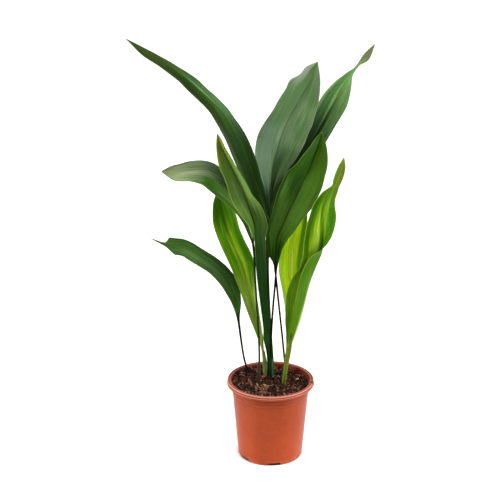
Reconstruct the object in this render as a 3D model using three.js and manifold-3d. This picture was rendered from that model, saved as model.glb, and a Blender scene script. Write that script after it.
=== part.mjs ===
// A potted cast iron plant: ten long leaves on thin stalks, which rise from a buried rootstock
// through the soil of a round nursery pot.
// Millimetres, Z up. The origin is the middle of the pot's underside, and -Y is the front.
import * as THREE from "three";
import { mergeVertices } from "three/addons/utils/BufferGeometryUtils.js";
import Module from "manifold-3d";

const wasm = await Module();
wasm.setup();

// Sizes shared by several pieces
const clearance = 0.3;
const roundSteps = 48;

// Pot
const potHeight = 157;
const rimRadius = 85;
const rimWidth = 8.6;
const rimDrop = 9.6;
const collarRadius = 75.4;
const collarDrop = 20;
const collarStep = 0.9;
const footRadius = 62.5;
const wallThickness = 1.6;
const floorThickness = 2;
const centreDiscRadius = 41;
const channelRise = 4.5;
const footRingInner = 56;
const notchCount = 6;
const notchWidth = 22;
const notchHeight = 4.6;
const notchDepth = 14;
const firstNotchAngle = 7;
const nickAngle = -11;
const nickWidth = 1.4;
const nickDepth = 3;

// Soil
const soilTop = 145.5;
const soilRings = 7;
const soilMoundHeight = 6;
const soilLumpHeight = 1.4;
const stalkMargin = 0.45;
const sheathMargin = 0.8;
const pocketMargin = 0.5;

// Rootstock
const rootstockHeight = 108.3;
const rootstockRadius = 6.4;
const rootstockSides = 10;
const rootstockSteps = 9;

// Blades. A stalk turns into a blade between two half widths, and a round stalk's faces meet at
// an edge angle above and below its sides. Columns run across a blade from edge to edge.
const bladeThickness = 0.8;
const sheathThickness = 0.8;
const keelDepth = 1.9;
const keelReach = 0.3;
const veinGroove = 0.7;
const ribHeight = 0.55;
const stalkHalf = 2.6;
const openHalf = 9;
const stalkEdge = 10;
const waveOffset = 0.3;
const faceColumns = [-1, -0.7, -0.4, -0.15, 0, 0.15, 0.4, 0.7, 1];
const ribColumns = [0, -1, 1, 0, 0, 0, 1, -1, 0];
const sheathColumns = [-1, -0.75, -0.5, -0.25, 0, 0.25, 0.5, 0.75, 1];
const front = new THREE.Vector3(0, -0.94, 0.34);

// A station of a leaf is x, y, z of its midrib, half its width, how far its face is turned
// about the midrib from the front, and the fold of each half towards the face.
const leaves = {
  leafArchedLeft: {
    color: 0x2f5a34, wave: 2, waves: 4, curl: -14,
    stations: [
      [30, 48, 115, 2.2, 0, 0],
      [30, 48, 150, 2.2, 0, 0],
      [25, 44, 209, 2, 0, 0],
      [16, 36, 297, 2, 0, 0],
      [7, 24, 385, 2, 20, 0],
      [-3, 15, 467, 3, 30, 10],
      [-14, 12, 508, 15, 50, 0],
      [-29, 9, 554, 30, 58, -8],
      [-47, 3, 610, 36, 58, -8],
      [-67, -5, 660, 38, 59, -10],
      [-94, -14, 704, 38, 63, -10],
      [-123, -22, 736, 37, 68, -8],
      [-158, -30, 771, 33, 68, -10],
      [-195, -37, 799, 25, 64, -12],
      [-230, -43, 820, 14, 62, -12],
      [-259, -47, 839, 0.6, 62, 0],
    ],
  },
  leafBroadMiddle: {
    color: 0x5c7f63, wave: 2, waves: 3, curl: -8,
    stations: [
      [-2, 38, 115, 2.4, 0, 0],
      [-2, 38, 150, 2.4, 0, 0],
      [-3, 37, 234, 2.3, 0, 0],
      [-6, 34, 329, 2.2, 0, 0],
      [-8, 32, 423, 2.2, 0, 0],
      [-5, 34, 488, 3.5, 0, 20],
      [-1, 40, 534, 12, 0, 20],
      [3, 48, 571, 28, 0, 14],
      [11, 56, 604, 41, 0, 8],
      [20, 65, 633, 46, 14, 14],
      [35, 76, 665, 46, 22, 22],
      [52, 89, 692, 39, 20, 16],
      [71, 108, 722, 26, 2, 14],
      [89, 140, 753, 0.6, 0, 0],
    ],
  },
  leafBackRight: {
    color: 0x33582f, wave: 1.5, waves: 4, curl: 10,
    stations: [
      [6, 37, 115, 2.4, 0, 0],
      [6, 37, 150, 2.4, 0, 0],
      [1, 43, 231, 2.3, 0, 0],
      [-4, 46, 325, 2.2, 0, 0],
      [-5, 49, 406, 3, 0, 15],
      [4, 54, 461, 12, 0, 25],
      [21, 62, 513, 22, 0, 30],
      [51, 76, 569, 27, -5, 30],
      [84, 92, 621, 28, -5, 30],
      [114, 108, 674, 28, 0, 28],
      [136, 121, 711, 18, 0, 25],
      [155, 130, 736, 2.8, 20, 0],
      [165, 134, 748, 3, 45, 0],
      [179, 139, 763, 9.5, 45, 10],
      [197, 146, 786, 0.6, 45, 0],
    ],
  },
  leafFrontRight: {
    color: 0x31561a, wave: 2, waves: 3, curl: -10,
    stations: [
      [3, 31, 115, 2.1, 0, 0],
      [3, 31, 150, 2.1, 0, 0],
      [1, 28, 216, 2.1, 0, 0],
      [4, 18, 294, 2, 0, 0],
      [9, 7, 371, 2, 0, 0],
      [9, 2, 399, 5, -10, 15],
      [9, -3, 429, 13, -20, 20],
      [13, -7, 457, 23, -16, 20],
      [24, -10, 484, 27, -4, 16],
      [34, -12, 510, 32, 0, 16],
      [46, -12, 535, 37, 2, 14],
      [58, -10, 562, 38, 4, 16],
      [71, -5, 591, 33, 13, 30],
      [84, 3, 622, 20, 15, 30],
      [93, 12, 652, 0.6, 0, 0],
    ],
  },
  leafFolded: {
    color: 0x567a34, wave: 1, waves: 4, curl: 6,
    stations: [
      [-3, 27.5, 115, 2.3, 0, 0],
      [-3, 27.5, 150, 2.3, 0, 0],
      [-5, 26, 200, 2.6, 10, 0],
      [-10, 21, 262, 4, 40, 30],
      [-16, 13, 317, 11, 45, 45],
      [-22, 5, 366, 15, 45, 45],
      [-26, -4, 410, 17, 45, 45],
      [-27, -12, 449, 19, 44, 45],
      [-33, -18, 483, 26, 28, 45],
      [-43, -22, 517, 27, 4, 42],
      [-55, -25, 553, 27, -21, 43],
      [-67, -26, 581, 24, -21, 46],
      [-78, -26, 604, 20, -25, 42],
      [-91, -25, 632, 11, -20, 40],
      [-100, -22, 658, 0.6, -10, 0],
    ],
  },
  leafSpreadLeft: {
    color: 0x6a8a66, wave: 2, waves: 3, curl: -10,
    stations: [
      [-23, -4, 115, 2.2, 0, 0],
      [-23, -4, 150, 2.2, 0, 0],
      [-22, -4, 209, 2, 0, 0],
      [-25, -3, 282, 2, 0, 0],
      [-30, -2, 364, 2, 0, 0],
      [-34, 0, 434, 2.4, 10, 10],
      [-42, 2, 472, 12, 30, 20],
      [-54, 4, 509, 24, 38, 5],
      [-71, 6, 539, 34, 46, -6],
      [-94, 7, 562, 39, 52, -10],
      [-120, 7, 577, 37, 48, -8],
      [-150, 5, 579, 30, 45, -7],
      [-177, 3, 577, 19, 42, -6],
      [-204, 1, 579, 1, 40, 0],
    ],
  },
  leafPaleLeft: {
    color: 0x5b8f12, wave: 2, waves: 4, curl: -6,
    stations: [
      [-12, 34, 115, 2.4, 0, 0],
      [-12, 34, 150, 2.4, 0, 0],
      [-15, 33, 203, 2.6, 0, 0],
      [-22, 32, 246, 7, 0, 45],
      [-31, 30, 287, 12, 0, 45],
      [-41, 28, 330, 18, -5, 40],
      [-53, 26, 380, 24, -5, 32],
      [-73, 26, 429, 25, 0, 26],
      [-85, 27, 467, 26, 0, 22],
      [-93, 29, 504, 19, 0, 18],
      [-98, 32, 541, 0.6, 0, 0],
    ],
  },
  leafLowLeft: {
    color: 0x2f5534, wave: 1.5, waves: 3, curl: -10,
    stations: [
      [-45, 43, 115, 2.2, 0, 0],
      [-45, 43, 150, 2.2, 0, 0],
      [-53, 42, 189, 2, 0, 0],
      [-62, 38, 261, 2.6, 0, 10],
      [-67, 31, 306, 10, 15, 20],
      [-81, 18, 351, 19, 35, 8],
      [-107, 2, 392, 22, 48, -3],
      [-137, -16, 421, 22.5, 50, -5],
      [-163, -32, 441, 22, 48, -5],
      [-182, -42, 448, 18.5, 42, -5],
      [-198, -50, 454, 3.5, 40, 0],
      [-222, -60, 469, 0.6, 40, 0],
    ],
  },
  leafRolledRight: {
    color: 0x6a9a1c, wave: 1, waves: 3, curl: 30,
    stations: [
      [26, -2, 115, 2.7, 0, 0],
      [26, -2, 150, 2.7, 0, 0],
      [30, -4, 186, 2.8, -40, 0],
      [34, -6, 217, 4.6, -60, 45],
      [44, -8, 247, 15, -58, 66],
      [53, -10, 275, 27, -57, 70],
      [58, -13, 305, 34, -58, 66],
      [63, -16, 335, 38, -60, 62],
      [69, -19, 363, 35, -58, 68],
      [75, -23, 397, 31, -50, 84],
      [82, -26, 428, 30, -40, 72],
      [87, -29, 457, 30, -28, 48],
      [95, -33, 492, 29, -20, 30],
      [100, -35, 520, 25, -14, 24],
      [109, -37, 548, 13, -30, 15],
      [118, -38, 567, 4, -75, 10],
      [122, -40, 585, 7, -130, 5],
      [126, -41, 601, 6, -150, 5],
      [131, -42, 619, 0.6, -160, 0],
    ],
  },
  leafBrightRight: {
    color: 0x8db41a, wave: 1, waves: 3, curl: 6,
    stations: [
      [27, 12, 115, 2.6, 0, 0],
      [27, 12, 150, 2.6, 0, 0],
      [32, 12, 209, 2.8, 0, 0],
      [36, 13, 255, 7, 0, 45],
      [38, 14, 300, 12, 0, 45],
      [39, 15, 341, 18, 0, 38],
      [38, 16, 388, 25, 0, 32],
      [40, 18, 434, 25, 0, 28],
      [49, 21, 477, 19, 0, 22],
      [58, 24, 510, 11, 0, 15],
      [65, 28, 538, 0.6, 0, 0],
    ],
  },
};

// A station of a sheath is x, y, z of its spine, half its width, the turn of its hollow side from
// the front, and the radius it is bent to.
const sheaths = {
  sheathLeft: {
    color: 0x6d5738,
    stations: [
      [-23, -7, 115, 7, 180, 3],
      [-23, -7, 150, 7, 180, 3],
      [-22.9, -7, 176, 6, 180, 3],
      [-22.7, -7, 188, 3.8, 180, 3],
      [-22.5, -7, 200, 0.6, 180, 3],
    ],
  },
  sheathMiddle: {
    color: 0x5c6438,
    stations: [
      [-9, 23.8, 115, 4, 180, 1.7],
      [-9, 23.8, 150, 4, 180, 1.7],
      [-10.4, 22.6, 178, 4.5, 180, 4.5],
      [-11.3, 22.7, 193, 2.6, 180, 4.5],
      [-12, 23, 206, 0.6, 180, 4.5],
    ],
  },
  sheathFront: {
    color: 0x3a5a48,
    stations: [
      [3, 28.3, 115, 6.5, 180, 2.7],
      [3, 28.3, 150, 6.5, 180, 2.7],
      [2.4, 27.4, 170, 5.5, 180, 2.7],
      [2, 26.8, 182, 3.4, 180, 2.7],
      [1.6, 26.2, 193, 0.6, 180, 2.7],
    ],
  },
  sheathRolled: {
    color: 0x66801d,
    stations: [
      [26, -5.5, 115, 8, 180, 3.5],
      [26, -5.5, 150, 8, 180, 3.5],
      [29.7, -8, 186, 7.5, 180, 3.9],
      [32.3, -12, 208, 6.5, 180, 5],
      [35.5, -17.8, 230, 5, 180, 6],
      [37.5, -24.6, 247, 3, 180, 6],
      [39, -31, 266, 0.6, 180, 6],
    ],
  },
  sheathBack: {
    color: 0x6a3a28,
    stations: [
      [30, 45.2, 115, 6.5, 180, 2.8],
      [30, 45.2, 150, 6.5, 180, 2.8],
      [29, 44.2, 163, 5, 180, 2.8],
      [28.4, 43.6, 170, 2.8, 180, 2.8],
      [27.8, 43, 177, 0.6, 180, 2.8],
    ],
  },
};

const radians = THREE.MathUtils.degToRad;
const smoothShare = (low, high, value) => THREE.MathUtils.smoothstep(value, low, high);

// A smooth curve through the values, one for each station, which never goes beyond them.
function between(values, place) {
  const index = Math.min(Math.floor(place), values.length - 2);
  const slopeAt = (i) => {
    const before = i > 0 ? values[i] - values[i - 1] : values[1] - values[0];
    const after = i < values.length - 1 ? values[i + 1] - values[i] : before;
    return before * after > 0 ? (2 * before * after) / (before + after) : 0;
  };
  const t = place - index;
  const a = values[index];
  const b = values[index + 1];
  const bend = t * t * (3 - 2 * t);
  const leave = t * (1 - t) * (1 - t);
  const arrive = t * t * (1 - t);
  return a + (b - a) * bend + slopeAt(index) * leave - slopeAt(index + 1) * arrive;
}

// The places of a leaf's rows: one at each station, and one more between two of the blade's.
function rowPlaces(halves) {
  const places = [];
  halves.slice(0, -1).forEach((half, i) => {
    places.push(i);
    if (Math.max(half, halves[i + 1]) > 4) places.push(i + 0.5);
  });
  return [...places, halves.length - 1];
}

// A closed skin of two faces, each a grid of rows by columns and split into the same triangles,
// sewn along both edges and at both ends.
function skinGeometry(faceRows, backRows) {
  const rows = faceRows.length;
  const columns = faceRows[0].length;
  const positions = [...faceRows.flat(), ...backRows.flat()].flatMap((p) => p.toArray());
  const face = (i, j) => i * columns + j;
  const back = (i, j) => rows * columns + i * columns + j;
  const last = columns - 1;
  const index = [];
  for (let i = 0; i < rows - 1; i++) {
    for (let j = 0; j < last; j++) {
      index.push(face(i, j), face(i, j + 1), face(i + 1, j + 1));
      index.push(face(i, j), face(i + 1, j + 1), face(i + 1, j));
      index.push(back(i, j), back(i + 1, j + 1), back(i, j + 1));
      index.push(back(i, j), back(i + 1, j), back(i + 1, j + 1));
    }
    index.push(back(i, 0), face(i, 0), face(i + 1, 0));
    index.push(back(i, 0), face(i + 1, 0), back(i + 1, 0));
    index.push(back(i, last), back(i + 1, last), face(i + 1, last));
    index.push(back(i, last), face(i + 1, last), face(i, last));
  }
  const end = rows - 1;
  for (let j = 0; j < last; j++) {
    index.push(back(0, j), back(0, j + 1), face(0, j + 1));
    index.push(back(0, j), face(0, j + 1), face(0, j));
    index.push(back(end, j), face(end, j + 1), back(end, j + 1));
    index.push(back(end, j), face(end, j), face(end, j + 1));
  }
  const geometry = new THREE.BufferGeometry();
  geometry.setAttribute("position", new THREE.Float32BufferAttribute(positions, 3));
  geometry.setIndex(index);
  return geometry;
}

const spineThrough = (stations) =>
  new THREE.CatmullRomCurve3(stations.map(([x, y, z]) => new THREE.Vector3(x, y, z)));

// Gives the point that lies so far across a spine and so far up from it, where up is the front
// turned about the spine.
function crossFrame(spine, share, turn) {
  const middle = spine.getPoint(share);
  const along = spine.getTangent(share);
  const facing = front.clone().addScaledVector(along, -front.dot(along)).normalize();
  const normal = facing.applyAxisAngle(along, radians(turn));
  const side = along.clone().cross(normal);
  return (across, up) => middle.clone().addScaledVector(side, across).addScaledVector(normal, up);
}

// A round stalk that opens into a blade. Across the blade each half is an arc, its fold plus or
// minus half its curl, with a sunk midrib, a keel under it, ribs along it and waves at the edge.
function leafGeometry({ stations, wave, waves, curl }) {
  const spine = spineThrough(stations);
  const halves = stations.map((station) => station[3]);
  const turns = stations.map((station) => station[4]);
  const folds = stations.map((station) => station[5]);
  const widest = Math.max(...halves);
  const lastStation = stations.length - 1;
  const kappa = radians(curl);
  const mix = THREE.MathUtils.lerp;
  const lastColumn = faceColumns.length - 1;
  const faceRows = [];
  const backRows = [];
  let open = 0;
  for (const place of rowPlaces(halves)) {
    const share = place / lastStation;
    const at = crossFrame(spine, share, between(turns, place));
    const half = between(halves, place);
    const firstAngle = radians(between(folds, place)) - kappa / 2;
    const fullness = half / widest;
    const keel = keelDepth * (1 - share);
    open = Math.max(open, smoothShare(stalkHalf, openHalf, half));
    const faceRow = [];
    const backRow = [];
    faceColumns.forEach((column, j) => {
      const reach = Math.abs(column);
      const hand = Math.sign(column);
      const angle = firstAngle + kappa * reach;
      const phase = 2 * Math.PI * (waves * share + waveOffset * hand);
      const across = (hand * half * (Math.sin(angle) - Math.sin(firstAngle))) / kappa;
      const lift = (half * (Math.cos(firstAngle) - Math.cos(angle))) / kappa;
      const groove = column === 0 ? veinGroove : 0;
      const relief = ribHeight * ribColumns[j] - groove + wave * reach ** 2 * Math.sin(phase);
      const up = lift + relief * fullness;
      const depth = bladeThickness + keel * Math.max(0, 1 - reach / keelReach);
      const lean = column === 0 ? 0 : hand * Math.sin(angle);
      const round = radians(180 - stalkEdge - ((180 - 2 * stalkEdge) * j) / lastColumn);
      const stalk = [half * Math.cos(round), half * Math.sin(round)];
      faceRow.push(at(mix(stalk[0], across, open), mix(stalk[1], up, open)));
      const underAcross = across + depth * lean;
      const underUp = up - depth * Math.cos(column === 0 ? 0 : angle);
      backRow.push(at(mix(stalk[0], underAcross, open), mix(-stalk[1], underUp, open)));
    });
    faceRows.push(faceRow);
    backRows.push(backRow);
  }
  return skinGeometry(faceRows, backRows);
}

// A scale bent to part of a tube. Its spine lies along the back of the tube.
function sheathGeometry({ stations }) {
  const spine = spineThrough(stations);
  const halves = stations.map((station) => station[3]);
  const turns = stations.map((station) => station[4]);
  const radii = stations.map((station) => station[5]);
  const lastStation = stations.length - 1;
  const faceRows = [];
  const backRows = [];
  for (let place = 0; place <= lastStation; place += 0.5) {
    const at = crossFrame(spine, place / lastStation, between(turns, place));
    const radius = between(radii, place);
    const outer = radius + sheathThickness;
    const angles = sheathColumns.map((column) => (between(halves, place) * column) / radius);
    faceRows.push(angles.map((a) => at(radius * Math.sin(a), radius - radius * Math.cos(a))));
    backRows.push(angles.map((a) => at(outer * Math.sin(a), radius - outer * Math.cos(a))));
  }
  return skinGeometry(faceRows, backRows);
}

// A closed mesh as a solid that can be joined and cut, and back.
function solidFrom(geometry) {
  const bare = geometry.clone();
  bare.deleteAttribute("normal");
  bare.deleteAttribute("uv");
  const merged = mergeVertices(bare, 1e-4);
  return new wasm.Manifold(
    new wasm.Mesh({
      numProp: 3,
      vertProperties: merged.attributes.position.array,
      triVerts: new Uint32Array(merged.index.array),
    }),
  );
}

function geometryFrom(solid) {
  const { vertProperties, triVerts, numProp, numVert } = solid.getMesh();
  const positions = new Float32Array(numVert * 3);
  for (let i = 0; i < numVert; i++) {
    positions.set(vertProperties.subarray(i * numProp, i * numProp + 3), i * 3);
  }
  const geometry = new THREE.BufferGeometry();
  geometry.setAttribute("position", new THREE.BufferAttribute(positions, 3));
  geometry.setIndex(new THREE.BufferAttribute(new Uint32Array(triVerts), 1));
  return geometry;
}

// A lathed ring or cup. Its profile is radius and height, and lies to the right of the axis.
function lathe(profile) {
  const geometry = new THREE.LatheGeometry(
    profile.map(([radius, height]) => new THREE.Vector2(radius, height)),
    roundSteps,
  );
  return geometry.rotateX(Math.PI / 2);
}

const channelTop = channelRise + floorThickness;
const collarFoot = potHeight - collarDrop;
const rimUnder = potHeight - 2.2;

// Radius of the pot's outer wall below the collar.
const wallRadiusAt = (height) =>
  footRadius + ((collarRadius - collarStep - footRadius) * height) / collarFoot;

// The inside of the pot from the middle of its floor to just under the rim, moved in by a gap.
function potInside(gap, top) {
  const inner = (height) => wallRadiusAt(height) - wallThickness - gap;
  const aside = 0.6 * gap;
  return [
    [0, floorThickness + gap],
    [centreDiscRadius - 1 - aside, floorThickness + gap],
    [centreDiscRadius + 2 - aside, channelTop + gap],
    [footRingInner - 1.5 + aside, channelTop + gap],
    [footRingInner + 1 + aside, floorThickness + gap],
    [inner(0) - 1.5, floorThickness + gap],
    [inner(4), 4 + gap],
    [inner(70), 70],
    [inner(collarFoot), collarFoot + gap],
    [collarRadius - wallThickness - gap, collarFoot + 2 + gap],
    [collarRadius - wallThickness - gap, top],
  ];
}

function potSolid() {
  const outside = [
    [0, 0],
    [centreDiscRadius, 0],
    [centreDiscRadius + 3, channelRise],
    [footRingInner - 2.5, channelRise],
    [footRingInner, 0],
    [footRadius - 1, 0],
    [footRadius, 1.2],
    [wallRadiusAt(70), 70],
    [wallRadiusAt(collarFoot - 1), collarFoot - 1],
    [collarRadius - 0.4, collarFoot + 1],
    [collarRadius, potHeight - rimDrop],
    [collarRadius + 0.2, rimUnder],
    [rimRadius - wallThickness, rimUnder],
    [rimRadius - wallThickness - 0.2, potHeight - rimDrop],
    [rimRadius - 0.4, potHeight - rimDrop],
    [rimRadius, potHeight - rimDrop + 1],
    [rimRadius, potHeight - 2.4],
    [rimRadius - 1.6, potHeight - 0.4],
    [rimRadius - rimWidth / 2, potHeight],
    [rimRadius - rimWidth + 1.6, potHeight - 0.4],
    [rimRadius - rimWidth - 0.6, potHeight - 2.4],
  ];
  const inside = potInside(0, potHeight - rimDrop).reverse();
  let solid = solidFrom(lathe([...outside, ...inside]));
  const notch = new THREE.BoxGeometry(notchWidth, notchDepth, 2 * notchHeight);
  for (let i = 0; i < notchCount; i++) {
    const turn = radians(firstNotchAngle + (360 / notchCount) * i - 90);
    const cut = notch.clone().rotateZ(turn + Math.PI / 2);
    cut.translate((footRadius + 1) * Math.cos(turn), (footRadius + 1) * Math.sin(turn), 0);
    solid = solid.subtract(solidFrom(cut));
  }
  const nick = new THREE.CylinderGeometry(nickWidth, 0.2, 8, 3).rotateX(Math.PI / 2);
  nick.translate(rimRadius + 0.4, 0, potHeight - nickDepth).rotateZ(radians(nickAngle));
  return solid.subtract(solidFrom(nick));
}

// Height of the soil: a low mound towards the back left, with lumps that die out at the wall.
function soilHeight(x, y) {
  const reach = Math.hypot(x, y) / collarRadius;
  const mound = soilMoundHeight * Math.exp(-((x + 32) ** 2 + (y - 34) ** 2) / 1400);
  const lumps = Math.sin(x / 5.1 + 1) * Math.cos(y / 4.3) + Math.sin(x / 9.7 - y / 7.9);
  return soilTop + (mound + soilLumpHeight * lumps) * (1 - reach ** 4);
}

function soilSolid(rootstock, holes) {
  const wall = potInside(clearance, soilTop);
  const [wallRadius] = wall.at(-1);
  const rings = [];
  for (let i = 1; i <= soilRings; i++) {
    rings.push([wallRadius * (1 - i / soilRings), soilTop]);
  }
  const geometry = lathe([...wall, ...rings]);
  const position = geometry.attributes.position;
  for (let i = 0; i < position.count; i++) {
    if (Math.abs(position.getZ(i) - soilTop) < 0.01) {
      position.setZ(i, soilHeight(position.getX(i), position.getY(i)));
    }
  }
  let solid = solidFrom(geometry).subtract(rootstock);
  for (const hole of holes) {
    solid = solid.subtract(hole);
  }
  return solid;
}

// The plain hole that a stalk or a sheath stands in, from the rootstock to above the soil.
function stemHole([x, y], radius) {
  const height = potHeight - rootstockHeight;
  const hole = new THREE.CylinderGeometry(radius, radius, height, 12).rotateX(Math.PI / 2);
  return solidFrom(hole.translate(x, y, rootstockHeight + height / 2));
}

const stalkHole = ({ stations: [[x, y, , half]] }) => stemHole([x, y], half + stalkMargin);

// A sheath stands with its spine to the front, so its tube is behind the spine.
const sheathHole = ({ stations: [[x, y, , , , radius]] }) =>
  stemHole([x, y + radius], radius + sheathThickness + sheathMargin);

// The rootstock creeps through the soil in three arms, one under each group of stalks.
const rootstockArms = [
  [[-48, 43.5], [-30, 39], [-12, 34], [1, 33], [18, 41], [34, 50]],
  [[1, 33], [14, 24], [29, 13], [28, 4], [25, -6]],
  [[-12, 34], [-21, 20], [-20, 6], [-17, -9]],
];

function rootstockSolid(gap) {
  const radius = rootstockRadius + gap;
  const outline = new THREE.Shape();
  for (let i = 0; i < rootstockSides; i++) {
    const angle = (2 * Math.PI * i) / rootstockSides;
    const place = [radius * Math.cos(angle), radius * Math.sin(angle)];
    if (i === 0) outline.moveTo(...place);
    else outline.lineTo(...place);
  }
  const arms = rootstockArms.map((route) => {
    const points = route.map(([x, y]) => new THREE.Vector3(x, y, rootstockHeight));
    const first = points[0].clone().sub(points[1]).setLength(gap);
    const last = points.at(-1).clone().sub(points.at(-2)).setLength(gap);
    points[0].add(first);
    points.at(-1).add(last);
    const extrudePath = new THREE.CatmullRomCurve3(points);
    return solidFrom(new THREE.ExtrudeGeometry(outline, { steps: rootstockSteps, extrudePath }));
  });
  return arms.reduce((joined, arm) => joined.add(arm));
}

const group = new THREE.Group();

function addPiece(name, geometry, color, roughness) {
  const material = new THREE.MeshStandardMaterial({ color, roughness, metalness: 0 });
  const mesh = new THREE.Mesh(geometry, material);
  mesh.name = name;
  group.add(mesh);
}

addPiece("pot", geometryFrom(potSolid()), 0xc0603f, 0.5);
addPiece("rootstock", geometryFrom(rootstockSolid(0)), 0x9a7b55, 0.8);
const holes = [...Object.values(leaves).map(stalkHole), ...Object.values(sheaths).map(sheathHole)];
addPiece("soil", geometryFrom(soilSolid(rootstockSolid(pocketMargin), holes)), 0x33221b, 0.95);
for (const [name, leaf] of Object.entries(leaves)) {
  addPiece(name, leafGeometry(leaf), leaf.color, 0.45);
}
for (const [name, sheath] of Object.entries(sheaths)) {
  addPiece(name, sheathGeometry(sheath), sheath.color, 0.6);
}

export default group;
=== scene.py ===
# The looks of a potted cast iron plant: ten leathery leaves on thin stalks and five leaf scales,
# standing in bark soil in a moulded terracotta-coloured nursery pot.
# Metres, Z up. The origin is the middle of the pot's underside, and -Y faces the camera.
import math
import bpy
import numpy as np
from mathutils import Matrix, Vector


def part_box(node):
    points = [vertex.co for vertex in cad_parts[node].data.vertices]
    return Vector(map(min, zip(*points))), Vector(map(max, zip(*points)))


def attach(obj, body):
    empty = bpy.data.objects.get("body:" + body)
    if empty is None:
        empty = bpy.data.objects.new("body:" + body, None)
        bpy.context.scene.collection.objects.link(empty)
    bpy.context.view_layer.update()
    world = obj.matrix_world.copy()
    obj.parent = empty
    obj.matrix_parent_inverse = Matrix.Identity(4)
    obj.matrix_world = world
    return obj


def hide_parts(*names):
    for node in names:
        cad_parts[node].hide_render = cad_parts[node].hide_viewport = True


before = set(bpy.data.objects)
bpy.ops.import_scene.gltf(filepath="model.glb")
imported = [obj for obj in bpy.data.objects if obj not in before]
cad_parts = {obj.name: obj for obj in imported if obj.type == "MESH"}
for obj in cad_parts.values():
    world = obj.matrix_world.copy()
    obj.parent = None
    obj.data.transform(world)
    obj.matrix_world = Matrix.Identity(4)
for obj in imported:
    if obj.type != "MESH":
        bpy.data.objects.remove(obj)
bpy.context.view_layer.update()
mm = 0.001
print("frame loaded:", len(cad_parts), "pieces")

# Camera, lights and floor

studio = {
    "cameraPlace": (-0.040, -2.720, 1.425),
    "cameraPitch": 20.2,  # degrees down from level
    "lens": 110.5,
    "sensor": 36,
    "surround": 0.16,  # strength of the light from all round
    "lamps": {  # place, width, height and watts of each soft box, which looks at the plant
        "left": ((-2.1, -0.55, 0.9), 0.8, 1.8, 66),
        "right": ((2.1, -0.55, 0.9), 0.8, 1.8, 72),
        "above": ((0.3, -0.7, 2.9), 2.0, 1.6, 68),
    },
    "lampAim": (-0.02, 0.0, 0.42),
    "floorColor": "f2f1ef",
    "floorReach": 25.0,
    "floorDrop": 0.0005,  # it lies so far under the pot
    "wallHeight": 1.4,  # a low far wall, so that a level view ends in white
    "potShadowTint": "4a3028",  # painted shadow on the floor in the pot's hollow foot
    "potShadow": (0.058, 0.0625),  # where that painted shadow ends
    "floorGlow": 1.0,  # like a light table: part of it near the pot and all of it far away
    "nearGlow": 0.5,
    "nearReach": (0.0615, 0.073),
    "farReach": (0.5, 1.8),
}


# A colour written as red, green and blue in hexadecimal, as the renderer counts light.
def paint(code):
    shares = np.array([int(code[i : i + 2], 16) for i in (0, 2, 4)]) / 255
    light = np.where(shares <= 0.04045, shares / 12.92, ((shares + 0.055) / 1.055) ** 2.4)
    return (*light.tolist(), 1.0)


# One socket of a finish. Sums, products and powers of sockets add their Math nodes.
class Wire:
    def __init__(self, finish, socket):
        self.finish, self.socket = finish, socket

    def math(self, operation, first, second=0.0):
        return self.finish.add("ShaderNodeMath", {"operation": operation}, {0: first, 1: second})

    def __add__(self, other):
        return self.math("ADD", self, other)

    def __sub__(self, other):
        return self.math("SUBTRACT", self, other)

    def __mul__(self, other):
        return self.math("MULTIPLY", self, other)

    def __pow__(self, other):
        return self.math("POWER", self, other)

    def __rsub__(self, other):
        return self.math("SUBTRACT", other, self)

    def __abs__(self):
        return self.math("ABSOLUTE", self)

    __radd__ = __add__
    __rmul__ = __mul__

    def sine(self):
        return self.math("SINE", self)

    # 0 below low, 1 above high and a smooth rise between them, on a Map Range node.
    def rise(self, low, high):
        settings = {"interpolation_type": "SMOOTHSTEP"}
        inputs = {0: self, 1: low, 2: high, 3: 0.0, 4: 1.0}
        return self.finish.add("ShaderNodeMapRange", settings, inputs)

    # 1 as near to a value as inner, 0 as far from it as outer and a smooth fall between them.
    def near(self, value, inner, outer):
        return 1 - abs(self - value).rise(inner, outer)


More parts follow.
